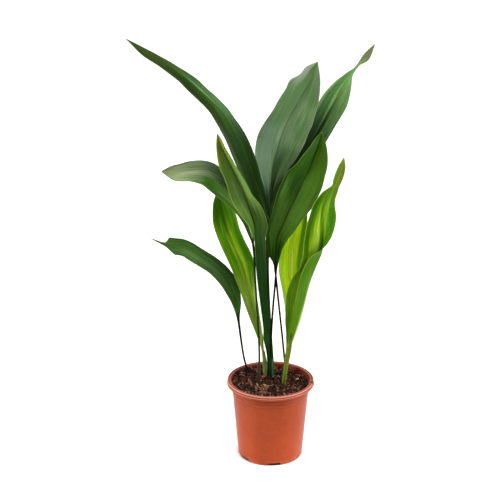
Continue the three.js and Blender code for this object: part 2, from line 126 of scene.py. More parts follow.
# A material and its nodes. add() makes any node from its type, its settings and the values or
# wires of its inputs.
class Finish:
    def __init__(self, name):
        self.material = bpy.data.materials.new(name)
        self.material.use_nodes = True
        self.tree = self.material.node_tree
        self.tree.nodes.clear()

    def add(self, kind, settings, inputs, output=0):
        node = self.tree.nodes.new(kind)
        for setting, value in settings.items():
            setattr(node, setting, value)
        for place, value in inputs.items():
            if isinstance(value, Wire):
                self.tree.links.new(value.socket, node.inputs[place])
            else:
                node.inputs[place].default_value = value
        return Wire(self, node.outputs[output]) if node.outputs else node

    # A number that the mesh holds for each of its points.
    def mark(self, name):
        return self.add("ShaderNodeAttribute", {"attribute_name": name}, {}, "Fac")

    # A place on the piece in metres.
    def place(self):
        return self.add("ShaderNodeTexCoord", {}, {}, "Object")

    # A vector from its three parts.
    def vector(self, x, y, z=0.0):
        return self.add("ShaderNodeCombineXYZ", {}, {0: x, 1: y, 2: z})

    # A vector or a colour times a vector, or times one number.
    def scaled(self, vector, sizes):
        way, place = ("SCALE", "Scale") if isinstance(sizes, Wire) else ("MULTIPLY", 1)
        return self.add("ShaderNodeVectorMath", {"operation": way}, {0: vector, place: sizes})

    # Smooth noise around 0.5: its scale counts the spots along a length of 1.
    def noise(self, vector, scale=1.0, detail=2.0, rough=0.5):
        inputs = {"Vector": vector, "Scale": scale, "Detail": detail, "Roughness": rough}
        return self.add("ShaderNodeTexNoise", {}, inputs, "Fac")

    # The first colour where the mask is 0 and the second where it is 1.
    def mix(self, mask, first, second):
        first, second = (paint(c) if isinstance(c, str) else c for c in (first, second))
        inputs = {0: mask, 6: first, 7: second}
        return self.add("ShaderNodeMix", {"data_type": "RGBA"}, inputs, 2)

    # A colour under layers, each with its mask and its colour.
    def layers(self, color, *layers):
        for mask, tint in layers:
            color = self.mix(mask, color, tint)
        return color

    # Ends the finish: what varies goes to colour, roughness and bump, and the rest is set.
    def surface(self, color, roughness, bump=None, depth=0.0, **fixed):
        inputs = {"Base Color": color, "Roughness": roughness, **fixed}
        if bump is not None:
            settings = {"Strength": 1.0, "Distance": depth, "Height": bump}
            inputs["Normal"] = self.add("ShaderNodeBump", {}, settings)
        shader = self.add("ShaderNodeBsdfPrincipled", {}, inputs)
        self.add("ShaderNodeOutputMaterial", {}, {"Surface": shader})
        return self.material


# A new object in the scene, at the origin.
def addObject(name, data):
    thing = bpy.data.objects.new(name, data)
    bpy.context.scene.collection.objects.link(thing)
    return thing


# Turns an object so that its -Z side looks from one place at another.
def aim(thing, place, target):
    back = np.array(place, float) - np.array(target, float)
    level = math.hypot(back[0], back[1])
    thing.location = place
    thing.rotation_euler = (math.atan2(level, back[2]), 0, math.atan2(back[0], -back[1]))


# The camera, an even light from all round, three soft boxes, and a floor with low far walls.
# Its glow grows with the distance from the pot in two steps.
def buildStudio():
    scene = bpy.context.scene
    scene.view_settings.view_transform = "Standard"
    cameraData = bpy.data.cameras.new("camera")
    cameraData.lens = studio["lens"]
    cameraData.sensor_width = studio["sensor"]
    camera = addObject("camera", cameraData)
    camera.location = studio["cameraPlace"]
    camera.rotation_euler = (math.radians(90 - studio["cameraPitch"]), 0, 0)
    scene.camera = camera

    world = bpy.data.worlds.new("surround")
    world.use_nodes = True
    background = world.node_tree.nodes["Background"]
    background.inputs["Color"].default_value = paint("ffffff")
    background.inputs["Strength"].default_value = studio["surround"]
    scene.world = world

    for name, (place, width, height, watts) in studio["lamps"].items():
        lamp = bpy.data.lights.new(name, "AREA")
        lamp.shape = "RECTANGLE"
        lamp.size, lamp.size_y, lamp.energy = width, height, watts
        aim(addObject(name, lamp), place, studio["lampAim"])

    corners = np.array([[-1, -1, 0], [1, -1, 0], [1, 1, 0], [-1, 1, 0]]) * studio["floorReach"]
    corners[:, 2] = -studio["floorDrop"]
    points = np.vstack([corners, corners + (0, 0, studio["wallHeight"])])
    walls = [(i, 4 + i, 4 + (i + 1) % 4, (i + 1) % 4) for i in range(4)]
    floorMesh = bpy.data.meshes.new("floor")
    floorMesh.from_pydata(points.tolist(), [], [(0, 1, 2, 3), *walls])
    f = Finish("paleFloor")
    place = f.place()
    distance = f.add("ShaderNodeVectorMath", {"operation": "LENGTH"}, {0: place}, "Value")
    near = distance.rise(*studio["nearReach"]) * studio["nearGlow"]
    far = distance.rise(*studio["farReach"]) * (1 - studio["nearGlow"])
    glow = f.mix(near + far, "000000", studio["floorColor"])
    color = f.mix(f.noise(place, 40.0, 3.0) * 0.1, studio["floorColor"], "ffffff")
    # Painted shadow: the floor in the pot's hollow foot is darker.
    color = f.mix(distance.rise(*studio["potShadow"]), studio["potShadowTint"], color)
    light = {"Emission Color": glow, "Emission Strength": studio["floorGlow"]}
    floorMesh.materials.append(f.surface(color, 0.9, **light))
    floor = addObject("floor", floorMesh)


# Surfaces worked out as whole arrays


# A smooth piece from points and arrays of faces, with named numbers for each point.
def addPiece(name, points, faces, marks, finish, nodes):
    mesh = bpy.data.meshes.new(name)
    corners = np.concatenate([part.ravel() for part in faces])
    sizes = np.concatenate([np.full(len(part), part.shape[1]) for part in faces])
    mesh.vertices.add(len(points))
    mesh.vertices.foreach_set("co", points.astype(np.float32).ravel())
    mesh.loops.add(len(corners))
    mesh.loops.foreach_set("vertex_index", corners.astype(np.int32))
    mesh.polygons.add(len(sizes))
    mesh.polygons.foreach_set("loop_start", (np.cumsum(sizes) - sizes).astype(np.int32))
    mesh.update(calc_edges=True)
    for mark, values in marks.items():
        numbers = mesh.attributes.new(mark, "FLOAT", "POINT").data
        numbers.foreach_set("value", values.astype(np.float32).ravel())
    mesh.shade_smooth()
    mesh.materials.append(finish)
    piece = addObject(name, mesh)
    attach(piece, "root")
    if nodes:
        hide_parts(*nodes)
    return piece


# The quads of a grid of rows by columns, whose first point has the number start.
def gridFaces(rows, columns, start=0, closed=False):
    numbers = start + np.arange(rows * columns).reshape(rows, columns)
    if closed:
        numbers = np.column_stack([numbers, numbers[:, 0]])
    a, b, c, d = numbers[:-1, :-1], numbers[:-1, 1:], numbers[1:, 1:], numbers[1:, :-1]
    return np.stack([a, b, c, d], -1).reshape(-1, 4)


# A closed skin: a face grid and a back grid alike, sewn along both edges and at both ends.
def skinFaces(rows, columns):
    face = np.arange(rows * columns).reshape(rows, columns)
    back = face + rows * columns
    left = np.stack([back[:-1, 0], face[:-1, 0], face[1:, 0], back[1:, 0]], -1)
    right = np.stack([face[:-1, -1], back[:-1, -1], back[1:, -1], face[1:, -1]], -1)
    foot = np.stack([back[0, :-1], back[0, 1:], face[0, 1:], face[0, :-1]], -1)
    tip = np.stack([face[-1, :-1], face[-1, 1:], back[-1, 1:], back[-1, :-1]], -1)
    under = gridFaces(rows, columns, rows * columns)[:, ::-1]
    return [gridFaces(rows, columns), under, left, right, foot, tip]


# A closed body: rings of points from its low end up, and a fan at each end round a point of
# its own. Those two points come last.
def bodyFaces(rings, sectors):
    ring = np.arange(sectors)
    onward = np.roll(ring, -1)
    low, high = (np.full(sectors, rings * sectors + i) for i in (0, 1))
    top = (rings - 1) * sectors
    fans = [(low, onward, ring), (top + ring, top + onward, high)]
    return [gridFaces(rings, sectors, closed=True), *(np.stack(fan, -1) for fan in fans)]


# Vectors at the length 1.
def unit(vectors):
    return vectors / np.linalg.norm(vectors, axis=-1)[..., None]


# Values between stations: a cubic over each step, with the harmonic mean of the steps on both
# sides as its slope at a station, so that it never goes beyond the values.
def between(values, places):
    steps = np.diff(values)
    before = np.concatenate([steps[:1], steps])
    after = np.concatenate([steps, steps[-1:]])
    same = before * after > 0
    slopes = np.where(same, 2 * before * after / np.where(same, before + after, 1), 0)
    index = np.minimum(places.astype(int), len(values) - 2)
    t = places - index
    rise = values[index] + steps[index] * t * t * (3 - 2 * t)
    return rise + slopes[index] * t * (1 - t) ** 2 - slopes[index + 1] * t * t * (1 - t)


# The curve through points and its direction: a cubic over each step, whose slopes weigh the
# steps beside it by the square roots of their lengths.
def curveThrough(points, places):
    ends = 2 * points[[0, -1]] - points[[1, -2]]
    padded = np.vstack([ends[:1], points, ends[1:]])
    index = np.minimum(places.astype(int), len(points) - 2)
    t = (places - index)[:, None]
    p0, p1, p2, p3 = (padded[index + i] for i in range(4))
    pairs = ((p0, p1), (p1, p2), (p2, p3))
    d0, d1, d2 = (np.linalg.norm(b - a, axis=1)[:, None] ** 0.5 for a, b in pairs)
    leave = ((p1 - p0) / d0 - (p2 - p0) / (d0 + d1) + (p2 - p1) / d1) * d1
    arrive = ((p2 - p1) / d1 - (p3 - p1) / (d1 + d2) + (p3 - p2) / d2) * d1
    square = 3 * (p2 - p1) - 2 * leave - arrive
    cube = 2 * (p1 - p2) + leave + arrive
    along = leave + t * (2 * square + 3 * t * cube)
    middle = p1 + t * (leave + t * (square + t * cube))
    return middle, unit(along)


# What leaves and scales share.
skin = {
    "rowsPerStation": 12,
    "buried": 115,  # height of the end that stands in the soil below the first station
    "frontWay": np.array([0, -0.94, 0.34]),  # the way that a leaf with no turn faces
}


# Middle, side and up of each row across a leaf or a scale: up is the front way made square to
# the curve and turned about it. Then half the width, what bends the row, the share of all
# stations and the length run so far.
def rowsAlong(stations):
    stations = np.array([(*stations[0][:2], skin["buried"], *stations[0][3:]), *stations], float)
    last = len(stations) - 1
    places = np.linspace(0, last, last * skin["rowsPerStation"] + 1)
    middle, along = curveThrough(stations[:, :3] * mm, places)
    facing = unit(skin["frontWay"] - (along @ skin["frontWay"])[:, None] * along)
    half, turn, bend = (between(stations[:, i], places)[:, None] for i in (3, 4, 5))
    up = facing * np.cos(np.radians(turn)) + np.cross(along, facing) * np.sin(np.radians(turn))
    steps = np.linalg.norm(np.diff(middle, axis=0), axis=1)
    run = np.concatenate([[0], np.cumsum(steps)])[:, None]
    return (middle, np.cross(along, up), up), half, bend, (places / last)[:, None], run


# A closed skin whose face and back each lie so far to the side and so far up from the middle
# of their rows, in millimetres.
def addSkin(name, part, frames, face, back, marks, finish):
    middle, side, up = (part[:, None, :] for part in frames)
    aside, lift = (np.stack(spots)[:, :, :, None] * mm for spots in zip(face, back))
    points = middle + side * aside + up * lift
    marks = {mark: np.broadcast_to(values, points.shape[:3]) for mark, values in marks.items()}
    faces = skinFaces(*points.shape[1:3])
    addPiece(name + "Fine", points.reshape(-1, 3), faces, marks, finish, [name])


# 0 below low, 1 above high and a cubic with level ends between them.
def smoothRise(low, high, value):
    t = np.clip((value - low) / (high - low), 0, 1)
    return t * t * (3 - 2 * t)


# Smooth random heights from -1 to 1: a seeded grid of numbers with smooth steps between them.
def lumps(x, y, size, seed):
    cells = 128
    grid = np.random.default_rng(seed).uniform(-1, 1, (cells, cells))
    x, y = x / size + cells / 2, y / size + cells / 2
    i, j = np.floor(x).astype(int), np.floor(y).astype(int)
    u, v = smoothRise(0, 1, x - i), smoothRise(0, 1, y - j)
    i, j, right, up = i % cells, j % cells, (i + 1) % cells, (j + 1) % cells
    near = grid[i, j] * (1 - u) + grid[right, j] * u
    far = grid[i, up] * (1 - u) + grid[right, up] * u
    return near * (1 - v) + far * v


# Leaves

# Sizes that all leaves share, in millimetres. Between two half widths a stalk opens to a blade.
blade = {
    "columns": 89,
    "edgeColumn": 0.985,
    "leastWidth": 0.4,  # of its half width, whatever the edges' uneven places take off
    "thickness": 0.5,
    "keelDepth": 1.9,
    "keelReach": 0.3,
    "veinGroove": 0.7,
    "grooveHalf": 2.2,
    "ribHeight": 0.35,
    "ribReach": np.array([0, 0.15, 0.4, 0.7, 1]),  # where the broad ribs stand across half a blade
    "ribShare": np.array([0, 0, 1, -1, 0]),
    "fineRib": 0.16,
    "fineRibSpacing": 3.2,
    "fineStart": (1, 4),  # where beside the midrib the fine ribs rise
    "fineEnd": (0.85, 1),  # where they die out again, as shares of half the blade
    "crumple": 0.5,
    "crumpleSize": 21,
    "stalkHalf": 2.6,
    "openHalf": 9,
    "stalkEdge": 10,  # degrees
    "stalkChannel": 0.35,
    "channelStart": (0.05, 0.3),  # where along the leaf the stalk's channel deepens
    "leastOpen": 0.02,  # a blade starts where the stalk has opened by this share
    "waveOffset": 0.3,
}

# What the leaves' finishes share, sizes in metres.
leafLook = {
    # Streaks, broad to fine and then clouds: how many across and along, shift, detail, roughness
    "streaks": [
        (4, 5, 0, 2, 0.6), (12, 12, 5, 2, 0.5), (30, 24, 7, 1, 0.5), (1.5, 22, 9, 3, 0.6),
    ],
    "drift": 0.35,  # how far streaks carry the edge of a band
    "veinSpacing": 0.00105,
    "midribLine": (0.0004, 0.0016),
    "edgeLine": (0.0004, 0.0018),
    "footReach": (0.05, 0.13),
    "specks": "c9cfb8",
    "relief": 0.00022,
}

# Tints are those of the deep and light streaks, midrib, pale lines, edge, stalk, stalk's foot
# and underside. Bands are soft stretches of another colour: their middle and half width across
# the blade, where along it they start and end, their colour and their strength. Some are the
# leaf's own tones; the near-black ones low on a blade are painted shade where leaves crowd, and
# some paler ones are painted light and painted highlights. Edges are uneven places: the station,
# counted from the buried end, the stations' spread, and how far the edge on each side stands
# out. A station is x, y, z of the midrib, half the width, the face's turn about the midrib from
# the front and the fold of each half, in millimetres and degrees; turn and fold are 0 where they
# are left out.
leaves = {}
leaves["leafArchedLeft"] = {
    "slot": "leaf_dark", "wave": 2, "waves": 4, "curl": -14,
    "ribStrength": 0.12, "lines": 0.16, "sheen": 0.03,
    "tints": ("102603", "314d17", "5f7540", "3c5a28", "4c4831", "091304", "33190a", "31471e"),
    "lightShadeAndToneBands": [
        (-0.85, 0.4, 0.3, 1, "16280a", 0.9), (0.4, 0.6, 0.3, 0.95, "34542a", 0.7),
        # The near-black bands low on the blade are painted shade.
        (-0.08, 0.1, 0.5, 0.7, "7d9268", 0.6), (0, 1.3, -0.4, 0.46, "0a1e03", 0.85),
        (0.8, 0.5, -0.4, 0.16, "030c02", 0.95), (-0.95, 0.2, 0.1, 0.5, "3a4a2a", 0.4),
        (0.45, 0.35, 0.42, 0.6, "4a6e3c", 0.5), (0, 1.3, 0.72, 1.3, "2c3a16", 0.85),
    ],
    "edges": [
        (13.7, 0.8, 4, 0), (12.4, 0.4, 0, 3), (14.5, 0.4, 0, -2), (11.2, 0.5, -2, 0),
        (9.8, 0.9, 4, 0),
    ],
    "stations": [
        (30, 48, 150, 2.2), (25, 44, 209, 2), (16, 36, 297, 2), (7, 24, 385, 2, 20, 0),
        (-3, 15, 467, 3, 30, 10), (-14, 12, 508, 15, 50, 0), (-29, 9, 554, 30, 58, -8),
        (-47, 3, 610, 36, 58, -8), (-67, -5, 660, 38, 59, -10), (-94, -14, 704, 38, 63, -10),
        (-123, -22, 736, 37, 68, -8), (-158, -30, 771, 33, 68, -10), (-195, -37, 799, 25, 64, -12),
        (-230, -43, 820, 14, 62, -12), (-259, -47, 839, 0.6, 62, 0),
    ],
}
leaves["leafBroadMiddle"] = {
    "slot": "leaf_grey_green", "wave": 2, "waves": 3, "curl": -8,
    "ribStrength": 0.5, "lines": 0.13, "sheen": 0.07,
    "tints": ("3a532d", "526a44", "2d4021", "7a8b73", "736d66", "0c1607", "15230b", "4b5e3f"),
    "lightShadeAndToneBands": [
        (-0.6, 0.5, 0, 0.6, "566a59", 0.6), (0.04, 0.06, 0.05, 0.5, "293f23", 0.7),
        (0.25, 0.24, -0.1, 0.42, "263c20", 0.8), (0.1, 0.3, 0.4, 0.8, "65795a", 0.5),
        # The pale grey band at the top left is a painted highlight.
        (-0.5, 0.7, 0.55, 1.3, "2e4a20", 0.85), (-0.8, 0.35, 0.82, 1.3, "81897c", 0.6),
        # The near-black bands from here on are painted shade at the foot of the blade.
        (0, 1.3, -0.4, 0.18, "040e03", 0.95), (0.95, 0.2, -0.4, 0.25, "051203", 0.95),
        (0, 1.3, -0.4, 0.12, "020a02", 0.95),
    ],
    "edges": [
        (11.45, 0.35, 3.5, 0), (12.05, 0.25, -2, 0), (12.65, 0.3, 5, 0), (9.4, 0.9, -2, 0),
        (7, 0.9, 5, 0), (12.1, 0.6, 0, -2.5),
    ],
    "stations": [
        (-2, 38, 150, 2.4), (-3, 37, 234, 2.3), (-6, 34, 329, 2.2), (-8, 32, 423, 2.2),
        (-5, 34, 488, 3.5, 0, 20), (-1, 40, 534, 12, 0, 20), (3, 48, 571, 28, 0, 14),
        (11, 56, 604, 41, 0, 8), (20, 65, 633, 46, 14, 14), (35, 76, 665, 46, 22, 22),
        (52, 89, 692, 39, 20, 16), (71, 108, 722, 26, 2, 14), (89, 140, 753, 0.6),
    ],
}
leaves["leafBackRight"] = {
    "slot": "leaf_dark", "wave": 1.5, "waves": 4, "curl": 10,
    "ribStrength": 0.15, "lines": 0.16, "sheen": 0.04,
    "tints": ("4a6e3a", "5c8247", "1e3211", "778c66", "3f392c", "0c1206", "162409", "3f532a"),
    "lightShadeAndToneBands": [
        # Painted light on the shaded right half, painted shade along the left side and low on the
        # blade; the last band is the tip's own brownish tone.
        (0.6, 0.5, 0.3, 0.75, "6a8c50", 0.35), (-0.55, 0.35, 0.2, 0.7, "12360a", 0.6),
        (0, 1.3, -0.3, 0.5, "041403", 0.94), (0, 1.3, 0.8, 1.3, "4a4a30", 0.92),
    ],
    "edges": [(10.8, 0.4, 4, 0), (9.5, 0.6, 0, 2)],
    "stations": [
        (6, 37, 150, 2.4), (1, 43, 231, 2.3), (-4, 46, 325, 2.2), (-5, 49, 406, 3, 0, 15),
        (4, 54, 461, 12, 0, 25), (21, 62, 513, 22, 0, 30), (51, 76, 569, 27, -5, 30),
        (84, 92, 621, 28, -5, 30), (114, 108, 674, 28, 0, 28), (136, 121, 711, 18, 0, 25),
        (155, 130, 736, 2.8, 20, 0), (165, 134, 748, 3, 45, 0), (179, 139, 763, 9.5, 45, 10),
        (197, 146, 786, 0.6, 45, 0),
    ],
}
leaves["leafFrontRight"] = {
    "slot": "leaf_dark", "wave": 2, "waves": 3, "curl": -10,
    "ribStrength": 0.95, "lines": 0.18, "sheen": 0.04,
    "tints": ("112d01", "264806", "091a02", "5b7d38", "526c24", "070f02", "112b12", "304a16"),
    "lightShadeAndToneBands": [
        (0.6, 0.55, 0.2, 0.95, "385811", 0.6), (-0.35, 0.3, 0.5, 1, "153501", 0.5),
        (-0.5, 0.4, 0.16, 0.5, "365818", 0.6), (0.4, 0.5, 0.35, 0.75, "44641e", 0.5),
        (-0.72, 0.15, 0.5, 0.68, "486a2c", 0.6), (-0.45, 0.3, 0.42, 0.52, "466420", 0.4),
        # The last band is painted shade at the foot of the blade.
        (0, 1.3, -0.3, 0.2, "0e2201", 0.7),
    ],
    "edges": [(12.5, 0.6, 0, 1.5), (5.5, 0.8, 6, 1.5)],
    "stations": [
        (3, 31, 150, 2.1), (1, 28, 216, 2.1), (4, 18, 294, 2), (9, 7, 371, 2),
        (9, 2, 399, 5, -10, 15), (9, -3, 429, 13, -20, 20), (13, -7, 457, 23, -16, 20),
        (24, -10, 484, 27, -4, 16), (34, -12, 510, 32, 0, 16), (46, -12, 535, 37, 2, 14),
        (58, -10, 562, 38, 4, 16), (71, -5, 591, 33, 13, 30), (84, 3, 622, 20, 15, 30),
        (93, 12, 652, 0.6),
    ],
}
leaves["leafFolded"] = {
    "slot": "leaf_olive", "wave": 1, "waves": 4, "curl": 6,
    "ribStrength": 0.7, "lines": 0.17, "sheen": 0.04,
    "tints": ("28400c", "46611f", "152904", "88a066", "697c3f", "0c1d04", "112a07", "455d29"),
    "lightShadeAndToneBands": [
        (-0.5, 0.45, 0.35, 0.85, "516d2a", 0.5), (0.6, 0.4, 0.5, 0.9, "5d7534", 0.5),
        (-0.6, 0.3, 0.12, 0.34, "536b3c", 0.6), (0, 1.3, 0.85, 1.3, "6c7420", 0.7),
        (-0.95, 0.4, 0.55, 0.88, "3e5618", 0.85), (0.4, 0.5, 0.56, 0.8, "647f42", 0.4),
        (-0.4, 0.35, 0.56, 0.74, "64804a", 0.25), (0, 1.3, -0.3, 0.56, "2a4c1a", 0.6),
        (0, 1.3, -0.3, 0.42, "123610", 0.85), (0.25, 0.3, -0.3, 0.4, "1e4c1a", 0.6),
    ],
    "edges": [(12.5, 0.8, 1.5, 0), (11.8, 0.5, 0, -2), (9.5, 0.8, 0, 2)],
    "stations": [
        (-3, 27.5, 150, 2.3), (-5, 26, 200, 3, 10, 0), (-13, 22, 262, 10, 40, 40),
        (-19.5, 13, 317, 13, 45, 45), (-25, 5, 366, 17.5, 45, 45), (-28.5, -4, 410, 19, 45, 45),
        (-30, -12, 449, 19, 44, 45), (-33, -18, 483, 26, 28, 45), (-43, -22, 517, 27, 4, 42),
        (-55, -25, 553, 27, -21, 43), (-67, -26, 581, 24, -21, 46), (-78, -26, 604, 20, -25, 42),
        (-91, -25, 632, 11, -20, 40), (-100, -22, 658, 0.6, -10, 0),
    ],
}
leaves["leafSpreadLeft"] = {
    "slot": "leaf_grey_green", "wave": 2, "waves": 3, "curl": -10,
    "ribStrength": 0.6, "lines": 0.3, "sheen": 0.06,
    "tints": ("285208", "507824", "b0c098", "b9c6a6", "5e6848", "141f0e", "4a2416", "7a8c64"),
    "lightShadeAndToneBands": [
        (0, 1.3, 0.5, 1, "94a47c", 0.8), (0, 1.3, 0.85, 1.3, "94a06c", 0.7),
        (0, 1.3, 0.95, 1.3, "4a4434", 0.9), (0.45, 0.65, 0.3, 0.66, "7e9e6c", 0.7),
        (-0.2, 0.16, 0.6, 0.95, "b4bc90", 0.6), (0.95, 0.2, 0.7, 0.96, "6a7858", 0.5),
        (-0.65, 0.45, 0.46, 0.72, "2c6604", 0.9), (-0.3, 0.9, 0.22, 0.42, "5c8036", 0.6),
        (0, 1.3, -0.3, 0.2, "1c3a12", 0.7),
    ],
    "edges": [(10.8, 0.9, 0, 4), (12.3, 0.5, 3, 3), (11, 0.4, -2, 0)],
    "stations": [
        (-23, -4, 150, 2.2), (-22, -4, 209, 2), (-25, -3, 282, 2), (-30, -2, 364, 2),
        (-34, 0, 434, 2.4, 10, 10), (-42, 2, 472, 12, 30, 20), (-54, 4, 509, 24, 38, 5),
        (-71, 6, 539, 34, 46, -6), (-94, 7, 562, 39, 52, -10), (-120, 7, 577, 37, 48, -8),
        (-150, 5, 579, 30, 45, -7), (-177, 3, 577, 19, 42, -6), (-204, 1, 579, 1, 40, 0),
    ],
}
leaves["leafPaleLeft"] = {
    "slot": "leaf_bright", "wave": 2, "waves": 4, "curl": -6,
    "ribStrength": 0.15, "lines": 0.22, "sheen": 0.03,
    "tints": ("366802", "649005", "96b81f", "a2c63c", "8fa43d", "7d9127", "7a792d", "5c8114"),
    "lightShadeAndToneBands": [
        (0, 0.4, -0.1, 0.68, "88ac20", 0.7), (0, 1.3, -0.3, 0.42, "88a040", 0.8),
        (-0.45, 0.14, 0.45, 0.85, "386a04", 0.35), (0.75, 0.28, 0.4, 0.78, "265602", 0.85),
        (-0.2, 0.9, 0.72, 1.2, "244e02", 0.85),
    ],
    "edges": [(6.3, 0.6, 0, 4), (7.8, 0.5, 0, -2), (4.2, 1.2, 4, 0)],
    "stations": [
        (-12, 34, 150, 2.4), (-15, 33, 203, 2.6), (-23, 32, 246, 8.5, 0, 45),
        (-32, 30, 287, 13, 0, 45), (-41, 28, 330, 18, -5, 40), (-53, 26, 380, 24, -5, 32),
        (-73, 26, 429, 25, 0, 26), (-85, 27, 467, 26, 0, 22), (-93, 29, 504, 19, 0, 18),
        (-98, 32, 541, 0.6),
    ],
}
leaves["leafLowLeft"] = {
    "slot": "leaf_dark", "wave": 1.5, "waves": 3, "curl": -10,
    "ribStrength": 0.45, "lines": 0.24, "sheen": 0.05,
    "tints": ("1d3710", "375620", "172d0b", "68845a", "494935", "0d1706", "1a1209", "324a20"),
    "lightShadeAndToneBands": [
        (0.5, 0.5, 0.4, 0.9, "30551d", 0.5), (-0.3, 0.25, 0.1, 0.7, "455e2c", 0.5),
        (0, 1.3, 0.9, 1.3, "302017", 0.95), (0, 1.3, 0.2, 0.5, "24421a", 0.4),
        (0, 1.3, -0.3, 0.2, "305518", 0.85),
    ],
    "edges": [(9, 0.8, 0, 4), (9.3, 0.6, 3, 0), (6.3, 1.1, 3, 0), (6.5, 0.7, 0, -2.5)],
    "stations": [
        (-45, 43, 150, 2.2), (-53, 42, 189, 2), (-62, 38, 261, 2.6, 0, 10),
        (-67, 31, 306, 10, 15, 20), (-81, 18, 351, 19, 35, 8), (-107, 2, 392, 22, 48, -3),
        (-137, -16, 421, 22.5, 50, -5), (-163, -32, 441, 22, 48, -5),
        (-182, -42, 448, 18.5, 42, -5), (-198, -50, 454, 3.5, 40, 0), (-222, -60, 469, 0.6, 40, 0),
    ],
}
leaves["leafRolledRight"] = {
    "slot": "leaf_bright", "wave": 1, "waves": 3, "curl": 30,
    "ribStrength": 0.1, "lines": 0.2, "sheen": 0.03,
    "tints": ("2e5b02", "4b7704", "a8cc40", "90c030", "809b35", "405607", "49540e", "3a4c04"),
    "lightShadeAndToneBands": [
        (-0.85, 0.25, 0.58, 0.78, "1c4200", 0.8), (-0.42, 0.26, 0.42, 0.62, "b0da2a", 0.85),
        (-0.31, 0.1, 0.46, 0.57, "cce460", 0.95), (-0.02, 0.1, 0.6, 0.67, "9cc42c", 0.9),
        (0.2, 0.1, 0.64, 0.74, "9cc42c", 0.9), (0.05, 0.16, -0.1, 0.36, "a0b080", 0.85),
        (-0.65, 0.5, -0.1, 0.42, "66881c", 0.5), (0.9, 0.5, 0.55, 0.9, "2c5804", 0.7),
        (0.5, 0.4, 0.2, 0.9, "2e5602", 0.6), (0, 1.3, 0.77, 1.3, "50601e", 0.9),
    ],
    "edges": [(10.6, 1.3, 11, 0), (13.9, 0.4, 3, 1), (14.9, 0.3, -2, 0)],
    "stations": [
        (26, -2, 150, 2.7), (30, -4, 186, 2.8, -40, 0), (34, -6, 217, 4.6, -60, 45),
        (44, -8, 247, 15, -58, 66), (53, -10, 275, 27, -57, 70), (60, -13, 305, 34, -58, 66),
        (66, -16, 335, 38, -60, 62), (72, -19, 363, 35, -58, 68), (82.5, -23, 397, 31, -50, 84),
        (93.5, -26, 428, 30, -46, 78), (97, -29, 457, 30, -30, 53), (98, -33, 492, 29, -20, 30),
        (100, -35, 520, 25, -14, 24), (108, -37, 545, 13, -20, 20), (117, -38, 565, 8, 10, 0),
        (123, -40, 583, 8.8, 10, 0), (127.5, -41, 600, 7), (131, -42, 619, 0.6),
    ],
}
leaves["leafBrightRight"] = {
    "slot": "leaf_bright", "wave": 1, "waves": 3, "curl": 6,
    "ribStrength": 0.3, "lines": 0.16, "sheen": 0.03,
    "tints": ("7fa306", "a4c60f", "d4e860", "b4cc28", "b6c653", "929f39", "6c7427", "7f9f1c"),
    "lightShadeAndToneBands": [
        (-0.85, 0.3, -0.1, 0.7, "5f8014", 0.85), (0, 1.3, -0.3, 0.3, "7f9450", 0.8),
        (0.05, 0.2, 0.05, 0.6, "d4ec48", 0.75), (0, 1.3, 0.6, 1.1, "b4d814", 0.6),
        (-0.4, 0.1, 0.2, 0.9, "719303", 0.7), (0.78, 0.26, 0, 0.95, "447204", 0.95),
    ],
    "edges": [(5, 1.6, 4, 0), (7.5, 1.2, 0, 3)],
    "stations": [
        (27, 12, 150, 2.6), (32, 12, 209, 2.8), (36, 13, 255, 7, 0, 45), (38, 14, 300, 12, 0, 45),
        (39, 15, 341, 18, 0, 38), (38, 16, 388, 25, 0, 32), (40, 18, 434, 25, 0, 28),
        (49, 21, 477, 19, 0, 22), (58, 24, 510, 11, 0, 15), (65, 28, 538, 0.6),
    ],
}


